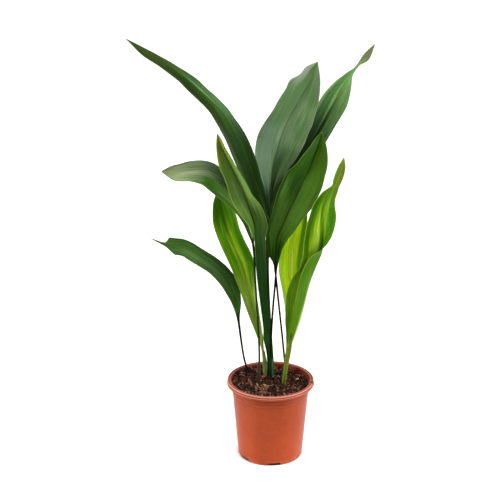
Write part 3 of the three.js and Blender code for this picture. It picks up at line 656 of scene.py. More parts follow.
# Parallel streaks and fine veins that run along a leaf, soft bands of other greens, some of them
# painted shade low on the blade and some painted light, a line on the midrib and at the edge, and
# the dark stalk. The underside is paler and duller.
def leafFinish(name, leaf, seed):
    f = Finish(name)
    across, aside, edge, run, opened, share, under = (
        f.mark(mark) for mark in ("across", "aside", "edge", "run", "open", "share", "under")
    )
    deep, light, midrib, pale, edgeTint, stalkTint, footTint, underTint = leaf["tints"]
    broad, narrow, hair, cloud = (
        f.noise(f.vector(across * wide, run * long, seed + shift), 1.0, detail, rough)
        for wide, long, shift, detail, rough in leafLook["streaks"]
    )
    streaks = (broad * 0.35 + narrow * 0.3 + hair * 0.15 + cloud * 0.2).rise(0.3, 0.7)
    paleLines = narrow.rise(0.56, 0.68) * leaf["lines"] * 0.5
    color = f.layers(f.mix(streaks, deep, light), (paleLines, pale), (under * 0.7, underTint))
    drift = (broad - 0.5) * leafLook["drift"]
    wide, along = across + drift, share + drift
    # Each band mixes in its colour: painted shade, painted light or a tone of the leaf's own.
    for middle, half, start, end, tint, strength in leaf["lightShadeAndToneBands"]:
        inside = wide.near(middle, half * 0.45, half * 1.35)
        reach = along.rise(start - 0.08, start + 0.12) * (1 - along.rise(end - 0.12, end + 0.08))
        color = f.mix(inside * reach * (narrow * 0.7 + 0.65) * strength, color, tint)
    lines = 1 + (narrow - 0.5) * (leaf["lines"] * 3) + (hair - 0.5) * (leaf["lines"] * 5)
    ripple = (abs(aside) * (math.tau / leafLook["veinSpacing"])).sine() * 0.5 + 0.5
    veins = ripple * (narrow * 1.2)
    middleLine = aside.near(0.0, *leafLook["midribLine"]) * leaf["ribStrength"]
    edgeLine = (1 - edge.rise(*leafLook["edgeLine"])) * share.rise(0.2, 0.55)
    specks = f.noise(f.place(), 900.0).rise(0.68, 0.76)
    foot = 1 - run.rise(*leafLook["footReach"])
    stalk = f.layers(stalkTint, (foot, footTint), (narrow.rise(0.4, 0.7) * 0.4, deep))
    color = f.layers(
        f.scaled(color, lines),
        (veins * 0.16, deep),
        (middleLine * (1 - share * 0.5), midrib),
        (edgeLine * 0.7, edgeTint),
        (specks * 0.06, leafLook["specks"]),
    )
    color = f.mix(opened.rise(0.0, 0.5), stalk, color)
    dull = 1 - share.rise(0.12, 0.4)
    roughness = 0.4 + streaks * 0.1 + under * 0.12 + specks * 0.1 + dull * 0.45
    relief = veins * 0.5 + narrow * 0.8 + f.noise(f.place(), 350.0, 3.0) * 0.5
    fixed = {"Specular IOR Level": leaf["sheen"]}
    return f.surface(color, roughness, relief, leafLook["relief"], **fixed)


# A blade: each half is an arc, its fold plus or minus half its curl. Ribs, a sunk midrib, fine
# ridges, a little crumple and waves that grow with the square of the reach lift its face, and
# its back lies under the face by the thickness and a keel. Lower down it closes to a round stalk.
def buildLeaf(name, leaf, seed):
    stations = [(*station, 0, 0)[:6] for station in leaf["stations"]]
    frames, half, fold, share, run = rowsAlong(stations)
    even = np.linspace(-1, 1, blade["columns"])
    across = np.concatenate([[-1, -blade["edgeColumn"]], even[1:-1], [blade["edgeColumn"], 1]])
    reach, hand = abs(across), np.sign(across)
    fullness = half / half.max()
    uneven = 0
    for middle, spread, left, right in leaf["edges"]:
        swell = np.exp(-(((share * len(stations) - middle) / spread) ** 2))
        uneven = uneven + swell * np.where(hand < 0, left, right * hand)
    width = np.maximum(half + uneven, blade["leastWidth"] * half)
    bend = math.radians(leaf["curl"])
    first = np.radians(fold) - bend / 2
    angle = first + bend * reach
    aside = hand * width * (np.sin(angle) - np.sin(first)) / bend
    lift = width * (np.cos(first) - np.cos(angle)) / bend

    ribReach, ribShare = blade["ribReach"], blade["ribShare"]
    spot = np.searchsorted(ribReach, reach, side="right").clip(1, len(ribReach) - 1)
    rise = smoothRise(ribReach[spot - 1], ribReach[spot], reach)
    ribs = ribShare[spot - 1] + np.diff(ribShare)[spot - 1] * rise
    groove = blade["veinGroove"] * (1 - smoothRise(0, blade["grooveHalf"], reach * half))
    fine = np.cos(reach * half * math.tau / blade["fineRibSpacing"])
    fine = fine * smoothRise(*blade["fineStart"], reach * half)
    fine = fine * (1 - smoothRise(*blade["fineEnd"], reach))
    phase = math.tau * (leaf["waves"] * share + blade["waveOffset"] * hand)
    waves = leaf["wave"] * reach**2 * np.sin(phase)
    crumple = blade["crumple"] * lumps(across * half, run / mm, blade["crumpleSize"], seed)
    broad = blade["ribHeight"] * ribs - groove + waves + crumple * smoothRise(0, 0.5, reach)
    up = lift + broad * fullness + blade["fineRib"] * fine
    keel = blade["keelDepth"] * (1 - share) * np.clip(1 - reach / blade["keelReach"], 0, 1)
    depth = blade["thickness"] + keel
    underAside, underLift = aside + depth * hand * np.sin(angle), up - depth * np.cos(angle)

    opened = smoothRise(blade["stalkHalf"], blade["openHalf"], half)
    opened = np.maximum.accumulate(opened, axis=0)
    turn = np.radians(180 - blade["stalkEdge"] - (90 - blade["stalkEdge"]) * (across + 1))
    stalkAside, stalkLift = half * np.cos(turn), half * np.sin(turn)
    channel = blade["stalkChannel"] * half * (1 - reach**2)
    channel = channel * smoothRise(*blade["channelStart"], share)
    face = (
        stalkAside + (aside - stalkAside) * opened,
        (stalkLift - channel) * (1 - opened) + up * opened,
    )
    back = (
        stalkAside + (underAside - stalkAside) * opened,
        -stalkLift * (1 - opened) + underLift * opened,
    )
    bladeStart = np.argmax(opened[:, 0] > blade["leastOpen"]) / (len(share) - 1)
    marks = {
        "across": across,
        "aside": across * width * mm,
        "edge": (1 - reach) * width * mm,
        "run": run,
        "open": opened,
        "share": (share - bladeStart) / (1 - bladeStart),
        "under": np.array([0, 1])[:, None, None],
    }
    finish = leafFinish(name + "Finish", leaf, float(seed))
    addSkin(name, leaf, frames, face, back, marks, finish)


# Leaf scales round the stalks' feet

scale = {
    "columns": 41,
    "turn": 180,  # a scale shows the front its back
    "thickness": 0.7,
    "edgeThickness": 0.25,
    "ridge": 0.08,
    "ridges": 9,
    "relief": 0.0002,
    "firstSeed": 41,
}

# Tints are those of the deep and light streaks and the tip. A station is x, y, z of the
# scale's back, half its width and the radius that it is bent to.
sheaths = {
    "sheathLeft": {
        "slot": "sheath_dry", "tints": ("1e130c", "3c2c1a", "2c1c12"),
        "stations": [
            (-23, -7, 150, 7, 3), (-22.9, -7, 176, 6, 3), (-22.7, -7, 188, 3.8, 3),
            (-22.5, -7, 200, 0.6, 3),
        ],
    },
    "sheathMiddle": {
        "slot": "sheath_green", "tints": ("34481e", "60723c", "1e2c12"),
        "stations": [
            (-9, 23.8, 150, 4, 1.7), (-10.4, 22.6, 178, 4.5, 4.5), (-11.3, 22.7, 193, 2.6, 4.5),
            (-12, 23, 206, 0.6, 4.5),
        ],
    },
    "sheathFront": {
        "slot": "sheath_green", "tints": ("143a20", "2e5a34", "12301c"),
        "stations": [
            (3, 28.3, 150, 6.5, 2.7), (2.4, 27.4, 170, 5.5, 2.7), (2, 26.8, 182, 3.4, 2.7),
            (1.6, 26.2, 193, 0.6, 2.7),
        ],
    },
    "sheathRolled": {
        "slot": "sheath_green", "tints": ("364808", "687420", "162c08"),
        "stations": [
            (26, -5.5, 150, 8, 3.5), (29.7, -8, 186, 7.5, 3.9), (32.3, -12, 208, 6.5, 5),
            (35.5, -17.8, 230, 5, 6), (37.5, -24.6, 247, 3, 6), (39, -31, 266, 0.6, 6),
        ],
    },
    "sheathBack": {
        "slot": "sheath_dry", "tints": ("4a2a1c", "8a5a40", "3a2418"),
        "stations": [
            (30, 45.2, 150, 6.5, 2.8), (29, 44.2, 163, 5, 2.8), (28.4, 43.6, 170, 2.8, 2.8),
            (27.8, 43, 177, 0.6, 2.8),
        ],
    },
}


# Streaks along the scale, a darker tip and papery pale edges.
def sheathFinish(name, sheath, seed):
    f = Finish(name)
    deep, light, tip = sheath["tints"]
    across, run, share = (f.mark(mark) for mark in ("across", "run", "share"))
    narrow = f.noise(f.vector(across * 9.0, run * 12.0, seed), 1.0, 3.0, 0.65)
    blotch = f.noise(f.place(), 160.0, 3.0, 0.6)
    color = f.layers(
        f.mix((narrow * 0.7 + blotch * 0.3).rise(0.36, 0.64), deep, light),
        (share.rise(0.75, 0.98), tip),
        (abs(across).rise(0.86, 0.98) * 0.5, light),
    )
    fixed = {"Specular IOR Level": 0.15}
    return f.surface(color, 0.5 + narrow * 0.2, narrow + blotch * 0.4, scale["relief"], **fixed)


# A scale bent to part of a tube: both faces are arcs about one line, with fine ridges along
# the outer one and edges that thin out.
def buildSheath(name, sheath, seed):
    stations = [(*station[:4], scale["turn"], station[4]) for station in sheath["stations"]]
    frames, half, radius, share, run = rowsAlong(stations)
    across = np.linspace(-1, 1, scale["columns"])
    angle = half * across / radius
    thin = scale["edgeThickness"] + (scale["thickness"] - scale["edgeThickness"]) * (1 - across**4)
    outer = radius + thin + scale["ridge"] * np.cos(across * scale["ridges"] * math.tau)
    face = radius * np.sin(angle), radius - radius * np.cos(angle)
    back = outer * np.sin(angle), radius - outer * np.cos(angle)
    marks = {"across": across, "run": run, "share": share}
    finish = sheathFinish(name + "Finish", sheath, float(seed))
    addSkin(name, sheath, frames, face, back, marks, finish)


# Pot

pot = {
    "sectors": 288,
    "cornerSteps": 4,
    "sharpAngle": 38,
    "collarRadius": 75.4,
    "collarDrop": 20,
    "collarStep": 0.9,
    "stepRing": 130,  # height of the faint ring below the collar
    "bend": 70,  # a height halfway up the wall
    "footRadius": 62.5,
    "wall": 1.6,
    "floor": 2,
    "centreDisc": 41,
    "channelRise": 4.5,
    "footRingInner": 56,
    # The lip's corners: radius and height from the rim's outside and top, and how much of
    # the corner is rounded
    "lip": [
        (-3.2, -2.8, 0.6), (-3, -8.6, 0.3), (-0.6, -8.6, 0.3), (0, -7.7, 0.4), (0, -5.4, 0.6),
        (-0.6, -4.4, 0.4), (-1.7, -3.8, 0.3), (-1.8, -3, 0.3), (-0.9, -2.2, 0.3),
        (-0.9, -1.1, 0.5), (-2, 0, 0.6), (-4, 0, 0.6), (-6.4, -0.5, 0.5), (-7.6, -0.9, 0.4),
        (-8.2, -1.6, 0.3), (-9.2, -2.2, 0.3),
    ],
    "notchCount": 6,
    "notchWidth": 24,
    "notchHeight": 5.2,
    "notchDepth": 14,
    "notchSlant": 0.8,
    "notchRounding": 1.6,
    "firstNotch": 7,  # degrees
    # The rim's crack and the chip beside it: their sections, sideways and up, and then their
    # start, end and height from the rim's outside and top
    "nickAngle": -11,
    "crackCut": ([(2.4, 2), (-2.4, 2), (-0.8, -6), (0.8, -6)], -8, 4, 0),
    "chipCut": ([(4.6, 2), (-6.4, 2), (-0.2, -5.5)], -2.4, 4, -1),
    "color": "883108",
    "light": "923a12",
    "dark": "742806",
    "inside": "541c12",
    "beadHighlight": "f0a896",
    "deepShade": "481404",
    "shade": "6a1c00",
    "crack": "4c0c04",
    "dust": "b98a74",
    "scratch": "dca088",
    "relief": 0.00012,
}
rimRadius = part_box("pot")[1].y / mm
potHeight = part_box("pot")[1].z / mm
collarFoot = potHeight - pot["collarDrop"]
collarInside = pot["collarRadius"] - pot["wall"]


# Radius of the pot's outer wall below the collar, which leans out evenly.
def wallRadius(height):
    lean = (pot["collarRadius"] - pot["collarStep"] - pot["footRadius"]) / collarFoot
    return pot["footRadius"] + lean * height


# Radius of the inner wall less a gap, at the floor, just above it, at the bend and at the collar.
def innerRadii(gap=0):
    heights = (0, 4, pot["bend"], collarFoot)
    return [wallRadius(height) - pot["wall"] - gap for height in heights]


# An outline whose corners are cut back by their own length and bent to a parabola.
def rounded(corners, steps):
    corners = np.array(corners, float)
    spots, cuts = corners[:, :2], corners[:, 2:]
    toward = unit(np.diff(spots, axis=0))
    starts = (spots - np.vstack([toward[:1], toward]) * cuts)[:, None]
    ends = (spots + np.vstack([toward, toward[-1:]]) * cuts)[:, None]
    t = np.linspace(0, 1, steps + 1)[:, None]
    arcs = (1 - t) ** 2 * starts + 2 * t * (1 - t) * spots[:, None] + t**2 * ends
    arcs = arcs.reshape(-1, 2)
    moved = np.linalg.norm(np.diff(arcs, axis=0), axis=1) > 1e-4
    return arcs[np.concatenate([[True], moved])]


# A closed turned body: its outline, radius and height, starts and ends on the axis, and each
# point between becomes a ring.
def turned(outline, sectors):
    angles = np.arange(sectors) * math.tau / sectors
    radius, height = outline[1:-1, :1], outline[1:-1, 1:]
    rings = np.stack([radius * np.cos(angles), radius * np.sin(angles), height + 0 * angles], -1)
    poles = [[0, 0, outline[0, 1]], [0, 0, outline[-1, 1]]]
    return np.vstack([rings.reshape(-1, 3), poles]), bodyFaces(len(rings), sectors)


# Half of the pot's section as radius, height and rounding, from the middle of the underside
# over the rim to the middle of the floor.
def potOutline():
    keys = "floor channelRise bend collarRadius centreDisc footRingInner footRadius stepRing"
    floor, channel, bend, collar, disc, ring, foot, step = (pot[key] for key in keys.split())
    inner = innerRadii()
    underside = [
        (0, 0.6, 0), (5, 0.6, 0.2), (5.6, 0, 0.2), (disc, 0, 0.8), (disc + 3, channel, 0.8),
        (ring - 2.5, channel, 0.8), (ring, 0, 0.6), (foot - 1, 0, 0.5), (foot, 1.2, 0.6),
    ]
    outside = [
        (wallRadius(bend), bend, 1), (wallRadius(step - 2), step - 2, 0.4),
        (wallRadius(step) - 0.5, step - 0.9, 0.3), (wallRadius(step) + 0.3, step + 0.2, 0.4),
        (wallRadius(collarFoot - 2) + 0.3, collarFoot - 2, 0.4),
        (wallRadius(collarFoot) - 0.5, collarFoot - 0.8, 0.3),
        (collar - 0.3, collarFoot + 0.6, 0.4), (collar - 0.3, collarFoot + 3.6, 0.4),
        (collar - 0.7, collarFoot + 4.2, 0.3), (collar - 0.2, potHeight - 8, 0.6),
        (collar + 1.4, potHeight - 3, 0.8),
    ]
    lip = [(rimRadius + aside, potHeight + up, cut) for aside, up, cut in pot["lip"]]
    inside = [
        (collar, potHeight - 4, 0.5), (collar - 1, potHeight - 7, 0.6),
        (collarInside, potHeight - 9.8, 0.6), (collarInside, collarFoot + 2, 0.6),
        (inner[3], collarFoot, 0.6), (inner[2], bend, 1), (inner[1], 4, 1),
        (inner[0] - 1.5, floor, 0.6), (ring + 1, floor, 0.6), (ring - 1.5, channel + floor, 0.8),
        (disc + 2, channel + floor, 0.8), (disc - 1, floor, 0.8), (0, floor, 0),
    ]
    return underside + outside + lip + inside


# Moulded plastic: a little mottled, with faint level draw rings and small scratches. Painted light
# and shade on it: paler towards the foot as painted light from the floor, painted highlights on
# both beads and the top of the rim, painted shade in the grooves, soft painted shade under the rim
# and at both steps, a crack darkened by painted shade, a darker inner wall as painted shade and
# painted shade in the hollow foot. Radius and height in metres tell these places apart.
def potFinish():
    f = Finish("potFinish")
    place = f.place()
    x, y, z = (f.add("ShaderNodeSeparateXYZ", {}, {0: place}, i) for i in range(3))
    radius = (x * x + y * y) ** 0.5
    cloud = f.noise(place, 18.0, 3.0, 0.6)
    mottle = f.noise(place, 120.0, 3.0, 0.6)
    rings = f.noise(f.vector(0.0, 0.0, z), 900.0)
    flow = f.noise(f.scaled(place, (90.0, 90.0, 6.0)))
    scratch = f.noise(f.scaled(place, (60.0, 60.0, 900.0))).rise(0.66, 0.72)
    ringShade = (1 - rings.rise(0.3, 0.5)) * z.rise(0.12, 0.13)
    # Painted shade: the inner wall above the soil is darker.
    inside = (1 - radius.rise(0.0765, 0.0778)) * z.rise(0.1484, 0.149)

    # Painted highlights on both beads, the ridge and the top of the rim.
    top = z.rise(0.1535, 0.156)
    upperBead = z.rise(0.1544, 0.1552) * radius.rise(0.0822, 0.083)
    lowerBead = z.near(0.1521, 0.0003, 0.0008) * radius.rise(0.084, 0.0846)
    ridge = radius.near(0.0787, 0.0005, 0.0012) * top
    rimHighlight = upperBead * 0.4 + lowerBead * 0.4 + ridge * 0.3 + top * 0.05
    # Painted shade in the grooves of the rim.
    valley = radius.near(0.0808, 0.0005, 0.0012) * top
    groove = z.near(0.1535, 0.0003, 0.0009) * radius.rise(0.0825, 0.083)

    underRim = z.near(0.1485, 0.001, 0.009) * 0.6 + z.near(0.142, 0.001, 0.005) * 0.3
    underRim = underRim * (1 - radius.rise(0.0765, 0.078))
    steps = z.near(0.136, 0.001, 0.004) + z.near(0.1285, 0.0005, 0.003) * 0.8
    # Painted shade in and beside the crack.
    nick = math.radians(pot["nickAngle"])
    crack = (x * -math.sin(nick) + y * math.cos(nick)).near(0.0, 0.0024, 0.0042)
    crack = crack * radius.rise(0.0775, 0.079) * z.rise(0.15, 0.153) * x.rise(0.0, 0.01)
    # Painted shade inside the hollow foot, seen through the notches.
    below = (1 - radius.rise(0.0605, 0.0612)) * (1 - z.rise(0.004, 0.008))
    foot = (1 - z.rise(0.001, 0.012)) * cloud.rise(0.35, 0.65) * radius.rise(0.061, 0.062)

    color = f.layers(
        f.mix((cloud * 0.6 + mottle * 0.4).rise(0.3, 0.7), pot["dark"], pot["light"]),
        (0.6, pot["color"]),
        (ringShade * 0.3, pot["dark"]),
    )
    # Paler towards the foot: painted light thrown up from the floor.
    color = f.layers(
        f.scaled(color, 1.14 - z * 1.9),
        (inside * 0.85, pot["inside"]),
        (rimHighlight * (mottle * 0.6 + 0.5), pot["beadHighlight"]),
        (underRim + steps * 0.35, pot["shade"]),
        (groove * 0.6 + valley * 0.35, pot["deepShade"]),
        (crack * 0.85, pot["crack"]),
        (below * 0.8, pot["deepShade"]),
        (foot * 0.25, pot["dust"]),
        (scratch * 0.1, pot["scratch"]),
    )
    roughness = 0.38 + mottle * 0.08 + scratch * 0.12
    relief = rings * 0.5 + flow * 0.4 + mottle * 0.4 + f.noise(place, 1500.0) * 0.2
    fixed = {"Specular IOR Level": 0.12, "Sheen Weight": 0.13, "Sheen Roughness": 0.4}
    return f.surface(color, roughness, relief, pot["relief"], **fixed)


# Turning matrices about one axis, one for each angle.
def turnAbout(axis, angles):
    a, b = (axis + 1) % 3, (axis + 2) % 3
    turn = np.zeros((len(angles), 3, 3))
    turn[:, axis, axis] = 1
    turn[:, a, a] = turn[:, b, b] = np.cos(angles)
    turn[:, b, a], turn[:, a, b] = np.sin(angles), -np.sin(angles)
    return turn


# Takes bars out of a piece. A bar is its angle, section, start, end and height: the section,
# width and height, runs along X and is turned to its angle.
def cutAway(piece, bars):
    points, faces, count = [], [], 0
    for degrees, section, start, end, height in bars:
        corners = len(section)
        spots = np.array([(x, y, z + height) for x in (start, end) for y, z in section], float)
        points.append(spots @ turnAbout(2, [math.radians(degrees)])[0].T)
        ring = np.arange(corners) + count
        faces += gridFaces(2, corners, count, True).tolist()
        faces += [ring[::-1].tolist(), (ring + corners).tolist()]
        count += 2 * corners
    mesh = bpy.data.meshes.new("cutters")
    mesh.from_pydata((np.vstack(points) * mm).tolist(), [], faces)
    cutter = addObject("cutters", mesh)
    cut = piece.modifiers.new("cut", "BOOLEAN")
    cut.operation = "DIFFERENCE"
    cut.solver = "EXACT"
    cut.object = cutter
    done = piece.evaluated_get(bpy.context.evaluated_depsgraph_get())
    fresh = bpy.data.meshes.new_from_object(done)
    piece.modifiers.clear()
    piece.data = fresh
    bpy.data.objects.remove(cutter)


# The drain notches are cut by slanted bars with rounded tops, the rim's crack by a thin bar
# and the chip beside it by a wedge.
def cutPot(piece):
    half, high = pot["notchWidth"] / 2, pot["notchHeight"]
    slant, rounding = pot["notchSlant"], pot["notchRounding"]
    corners = [
        (half + slant, -high, 0), (half - slant, high, rounding),
        (slant - half, high, rounding), (-half - slant, -high, 0),
    ]
    arch = rounded(corners, pot["cornerSteps"])
    start, end = (pot["footRadius"] + 1 + side * pot["notchDepth"] / 2 for side in (-1, 1))
    angles = pot["firstNotch"] - 90 + np.arange(pot["notchCount"]) * 360 / pot["notchCount"]
    crack, chip = (
        (pot["nickAngle"], section, rimRadius + start, rimRadius + end, potHeight + height)
        for section, start, end, height in (pot["crackCut"], pot["chipCut"])
    )
    cutAway(piece, [*((angle, arch, start, end, 0) for angle in angles), crack])
    cutAway(piece, [chip])  # a call of its own, because cutters must not touch
    piece.data.set_sharp_from_angle(angle=math.radians(pot["sharpAngle"]))


# The section turned about Z, and then cut.
def buildPot():
    outline = rounded(potOutline(), pot["cornerSteps"])
    outline[[0, -1], 0] = 0
    points, faces = turned(outline, pot["sectors"])
    piece = addPiece("potFine", points * mm, faces, {}, potFinish(), ["pot"])
    cutPot(piece)


# Soil

soil = {
    "top": 145.5,
    "clearance": 0.3,
    "mound": (-32, 34, 6, 1400),  # x, y, height and spread
    "heap": (160, 10, 60),  # degrees, height and spread of the bark pushed up against the wall
    "flare": (147.5, 153.5, 0.019),  # between two heights the pot widens, and high soil with it
    "lumpHeight": 1.4,
    "lumpSizes": (5.1, 4.3, 9.7, 7.9),  # across and along, of two crossed sets of waves
    "clods": [(1.3, 7, 11), (0.9, 3.2, 12), (0.4, 1.4, 13)],  # height, size and seed
    "rings": 150,
    "sectors": 360,
    "tints": ("060302", "140904", "231007", "30180d"),
    "toneSpots": (3.0, 21),  # size and seed
    "roughness": 0.85,
    "relief": 0.0008,
    "stalkRoom": 3.4,
    # Count, corners, the ranges of length, width and half depth, tilt, lift in half depths,
    # four tints and seed
    "flakes": {
        "barkChips": (700, 7, ((7, 20), (2.6, 7), (1.4, 3.6)), 0.5, 0.45,
                      ("070302", "271007", "6a3321", "8b654e"), 31),
        "barkFlecks": (800, 6, ((3, 8), (1.6, 4), (1, 2.4)), 0.5, 0.5,
                       ("0b0504", "301409", "5e3121", "836b51"), 36),
        "crumbs": (1300, 5, ((1.2, 3.4), (1, 2.6), (0.8, 2)), 0.6, 0.4,
                   ("0b0504", "291309", "4c2a1e", "867251"), 32),
        "grit": (50, 6, ((1.4, 3.6), (1.2, 3), (1.2, 2.6)), 0.5, 0.8,
                 ("5c524c", "8d8078", "a89a8c", "c9bda9"), 33),
    },
    # The number of random ones, or x, y and heading of each; the ranges of length and radius,
    # four tints and seed
    "threads": {
        "coirFibres": (120, (6, 22), (0.16, 0.34), ("3a2014", "5c3a26", "8a6a44", "b89c6c"), 34),
        "dryStraws": (
            [
                (-21, -14, 92), (-19, -20, 84), (-16, -12, 100), (-14, -24, 75), (-11, -17, 110),
                (-17, -30, 60), (-24, -26, 95), (-20, -24, 88), (-22, -18, 80), (-12, -28, 96),
                (-9, -22, 70), (-26, -20, 105), (-66, 12, 20), (-63, 17, 80), (-67, 5, 120),
                (-61, 9, 150), (14, -34, 30), (52, 14, 40), (46, -20, 130),
            ],
            (12, 24), (0.45, 0.8), ("8a7148", "b09a68", "c8b484", "dccfa8"), 35,
        ),
        "freshRoots": (
            [
                (34, -14, 40), (38, -22, 70), (30, -28, 55), (42, -10, 20), (24, -36, 35),
                (-4, -44, 160),
            ],
            (12, 24), (0.4, 0.7), ("7a3a2a", "a05a44", "b87a60", "d0a890"), 37,
        ),
    },
}

# What all flakes share. Heights are in half depths.
flake = {
    "margin": 2.0,  # millimetres that their middles keep from the wall
    "jitter": 0.3,  # of the angle between two corners, to either side
    "reach": (0.62, 1.0),  # of the corners
    "shrink": (0.72, 0.95),  # of the upper ring
    "upperHeight": (0.4, 1.1),
    "upperMiddle": (0.5, 1.5),
    "lowerMiddle": -1.3,
    "roughness": 0.75,
}

# What all threads share, in millimetres where nothing else is said.
thread = {
    "margin": 6.0,  # that the middles of random ones keep from the wall
    "wallRoom": 1.5,
    "steps": 13,
    "corners": 6,
    "bend": 2.2,  # radians that the heading turns by at most over the whole length
    "lift": 0.8,
    "arch": 0.16,  # the highest arch, of the length
    "archShare": (0.2, 1.0),
    "thinning": 0.75,  # at both ends
    "roughness": 0.8,
}

rootstock = {
    "deep": "6b5236",
    "light": "b39a72",
    "relief": 0.0006,
}


# Height of the soil: a low mound towards the back left, and lumps that die out at the wall.
def soilHeight(x, y):
    middleX, middleY, high, spread = soil["mound"]
    a, b, c, d = soil["lumpSizes"]
    reach = np.hypot(x, y) / pot["collarRadius"]
    mound = high * np.exp(-((x - middleX) ** 2 + (y - middleY) ** 2) / spread)
    waves = np.sin(x / a + 1) * np.cos(y / b) + np.sin(x / c - y / d)
    return soil["top"] + (mound + soil["lumpHeight"] * waves) * (1 - reach**4)


# The soil's own surface: finer clods on its height, and a heap against the wall.
def soilSurface(x, y):
    middle, high, spread = soil["heap"]
    clods = sum(height * lumps(x, y, size, seed) for height, size, seed in soil["clods"])
    away = np.hypot(x, y) / pot["collarRadius"]
    turn = (np.degrees(np.arctan2(y, x)) - middle + 180) % 360 - 180
    heap = high * np.exp(-((turn / spread) ** 2)) * away**3
    return soilHeight(x, y) + heap + clods * (1 - away**8)


# How far soil at a height is carried out by the flare of the pot, as a factor.
def flared(height):
    low, high, share = soil["flare"]
    return 1 + share * smoothRise(low, high, height)


# Dark damp mix: brown and purplish clods with pale fibre dust.
def soilFinish(name, tints, rough):
    f = Finish(name)
    place = f.place()
    tone = f.mark("tone")
    grain = f.noise(place, 420.0, 4.0, 0.65)
    patch = f.noise(place, 90.0, 3.0, 0.6)
    color = f.layers(
        f.mix((grain * 0.6 + patch * 0.4).rise(0.35, 0.65), tints[0], tints[1]),
        (tone.rise(0.5, 0.8) * 0.85, tints[2]),
        (tone.rise(0.82, 0.98) * 0.85, tints[3]),
    )
    fixed = {"Specular IOR Level": 0.15}
    return f.surface(color, rough - grain * 0.25, grain + patch * 0.3, soil["relief"], **fixed)


# A turned body that stands off the pot's inside by the clearance. The rings of its flat top,
# closer together towards the wall, are then lifted to the soil's surface.
def buildSoil():
    gap = soil["clearance"]
    inner = innerRadii(gap)
    disc, ring, bend = (pot[key] for key in ("centreDisc", "footRingInner", "bend"))
    low, rim = pot["floor"] + gap, collarInside - gap
    over = low + pot["channelRise"]
    side = [
        (0, low), (disc - 1.2, low), (disc + 1.8, over), (ring - 1.3, over), (ring + 1.2, low),
        (inner[0] - 1.5, low), (inner[1], 4 + gap), (inner[2], bend),
        (inner[3], collarFoot + gap), (rim, collarFoot + 2.3),
    ]
    radii = rim * np.linspace(1, 0, soil["rings"]) ** 0.8
    outline = np.vstack([side, np.column_stack([radii, np.full(len(radii), soil["top"])])])
    points, faces = turned(outline, soil["sectors"])
    top = points[:, 2] > soil["top"] - 0.01
    points[top, 2] = soilSurface(points[top, 0], points[top, 1])
    points[top, :2] *= flared(points[top, 2:])
    tone = 0.5 + 0.5 * lumps(points[:, 0], points[:, 1], *soil["toneSpots"])
    finish = soilFinish("soilFinish", soil["tints"], soil["roughness"])
    addPiece("soilFine", points * mm, faces, {"tone": tone}, finish, ["soil"])


# Spots on the soil, evenly spread over the disc by area and off the stalks.
def soilSpots(rng, count, margin):
    radius = (collarInside - margin) * np.sqrt(rng.uniform(0, 1, count))
    angle = rng.uniform(0, math.tau, count)
    x, y = radius * np.cos(angle), radius * np.sin(angle)
    feet = np.array([part["stations"][0][:2] for part in (*leaves.values(), *sheaths.values())])
    near = np.hypot(x[:, None] - feet[:, 0], y[:, None] - feet[:, 1]).min(1)
    return np.column_stack([x, y])[near > soil["stalkRoom"]]


# Loose bits as one piece, from the points of each, the faces that all share and their tones.
def addBits(name, points, parts, tones, tints, rough):
    count, each = points.shape[:2]
    start = (np.arange(count) * each)[:, None, None]
    faces = [(part[None] + start).reshape(-1, part.shape[1]) for part in parts]
    marks = {"tone": np.repeat(tones, each)}
    finish = soilFinish(name + "Finish", tints, rough)
    addPiece(name, points.reshape(-1, 3) * mm, faces, marks, finish, [])


# Flakes: a lower and an upper ring of uneven corners, each closed by a fan round its own
# raised middle, scaled, turned about all axes and set on the soil.
def buildFlakes(name, count, corners, sizes, tilt, sink, tints, seed):
    rng = np.random.default_rng(seed)
    spots = soilSpots(rng, count, flake["margin"])
    count = len(spots)
    rings = (count, corners)
    uneven = rng.uniform(-flake["jitter"], flake["jitter"], rings)
    angle = (np.arange(corners) + uneven) * math.tau / corners
    radius = rng.uniform(*flake["reach"], rings)
    length, width, depth = (rng.uniform(low, high, (count, 1)) for low, high in sizes)
    shrink = rng.uniform(*flake["shrink"], rings)
    x, y = radius * np.cos(angle) * length, radius * np.sin(angle) * width
    lower = np.stack([x, y, -depth + 0 * angle], -1)
    high = depth * rng.uniform(*flake["upperHeight"], rings)
    upper = np.stack([x * shrink, y * shrink, high], -1)
    middle = np.zeros((count, 2, 3))
    middle[:, 0, 2] = flake["lowerMiddle"] * depth[:, 0]
    middle[:, 1, 2] = rng.uniform(*flake["upperMiddle"], count) * depth[:, 0]
    shape = np.concatenate([lower, upper, middle], 1) / 2
    spin = rng.uniform(0, math.tau, count)
    tiltX, tiltY = rng.normal(0, tilt, count), rng.normal(0, tilt, count)
    turn = turnAbout(0, tiltX) @ turnAbout(1, tiltY) @ turnAbout(2, spin)
    points = shape @ turn.transpose(0, 2, 1)
    points[:, :, :2] += spots[:, None]
    points[:, :, 2] += (soilSurface(*spots.T) + sink * depth[:, 0])[:, None]
    away = np.hypot(points[:, :, 0], points[:, :, 1])
    limit = (collarInside - soil["clearance"]) * flared(points[:, :, 2])
    points[:, :, :2] *= np.minimum(1, limit / np.maximum(away, 1e-9))[:, :, None]
    tones = rng.uniform(0, 1, count)
    addBits(name, points, bodyFaces(2, corners), tones, tints, flake["roughness"])


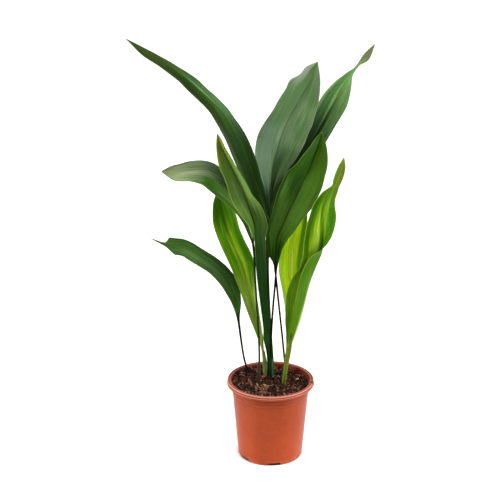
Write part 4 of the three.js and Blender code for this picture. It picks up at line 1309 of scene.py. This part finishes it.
# Threads: a small round section, thinner at both ends, carried along a path of even steps
# whose heading turns evenly and which arches up in the middle.
def buildThreads(name, spots, lengths, radii, tints, seed):
    rng = np.random.default_rng(seed)
    if isinstance(spots, int):
        spots = soilSpots(rng, spots, thread["margin"])
        spots = np.column_stack([spots, rng.uniform(0, 360, len(spots))])
    spots = np.array(spots, float)
    count, steps, corners = len(spots), thread["steps"], thread["corners"]
    length = rng.uniform(*lengths, (count, 1))
    t = np.linspace(-0.5, 0.5, steps)
    heading = np.radians(spots[:, 2:])
    heading = heading + rng.uniform(-thread["bend"], thread["bend"], (count, 1)) * t
    stride, ways = length / (steps - 1), (np.cos(heading), np.sin(heading))
    x, y = (
        spots[:, i : i + 1] + np.cumsum(way * stride, 1) - length / 2 * way[:, :1]
        for i, way in enumerate(ways)
    )
    limit = collarInside - thread["wallRoom"]
    keep = np.minimum(1, limit / np.maximum(np.hypot(x, y), 1e-9))
    x, y = x * keep, y * keep
    arch = rng.uniform(*thread["archShare"], (count, 1)) * length * thread["arch"]
    ground = soilSurface(x, y) * 0.5 + soilHeight(x, y) * 0.5
    z = ground + thread["lift"] + arch * (1 - (2 * t) ** 2)
    path = np.stack([x, y, z], -1)
    along = unit(np.gradient(path, axis=1))
    side = unit(np.cross(along, [0, 0, 1.0]))
    up = np.cross(side, along)
    turn = (np.arange(corners) * math.tau / corners)[:, None]
    thick = rng.uniform(*radii, (count, 1)) * (1 - thread["thinning"] * (2 * t) ** 4)
    ring = side[:, :, None] * np.cos(turn) + up[:, :, None] * np.sin(turn)
    points = (path[:, :, None] + ring * thick[:, :, None, None]).reshape(count, -1, 3)
    ends = np.stack([np.arange(corners), (steps - 1) * corners + np.arange(corners)[::-1]])
    faces = [gridFaces(steps, corners, closed=True)[:, ::-1], ends]
    addBits(name, points, faces, rng.uniform(0, 1, count), tints, thread["roughness"])


# The rootstock lies buried, scaly and dull.
def dressRootstock():
    f = Finish("rootstockFinish")
    place = f.place()
    scales = f.noise(f.scaled(place, (300.0, 300.0, 60.0)), 1.0, 3.0, 0.6)
    patch = f.noise(place, 80.0, 3.0, 0.6)
    mask = (scales * 0.6 + patch * 0.4).rise(0.35, 0.65)
    color = f.mix(mask, rootstock["deep"], rootstock["light"])
    finish = f.surface(color, 0.75 + patch * 0.1, scales, rootstock["relief"])
    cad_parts["rootstock"].material_slots[0].material = finish


buildStudio()
print("camera, lights and floor done")
for number, (name, leaf) in enumerate(leaves.items()):
    buildLeaf(name, leaf, number + 1)
print("leaves done:", len(leaves))
for number, (name, sheath) in enumerate(sheaths.items()):
    buildSheath(name, sheath, number + scale["firstSeed"])
print("leaf scales done:", len(sheaths))
buildPot()
print("pot done")
buildSoil()
for name, flakes in soil["flakes"].items():
    buildFlakes(name, *flakes)
for name, threads in soil["threads"].items():
    buildThreads(name, *threads)
print("soil done")
dressRootstock()
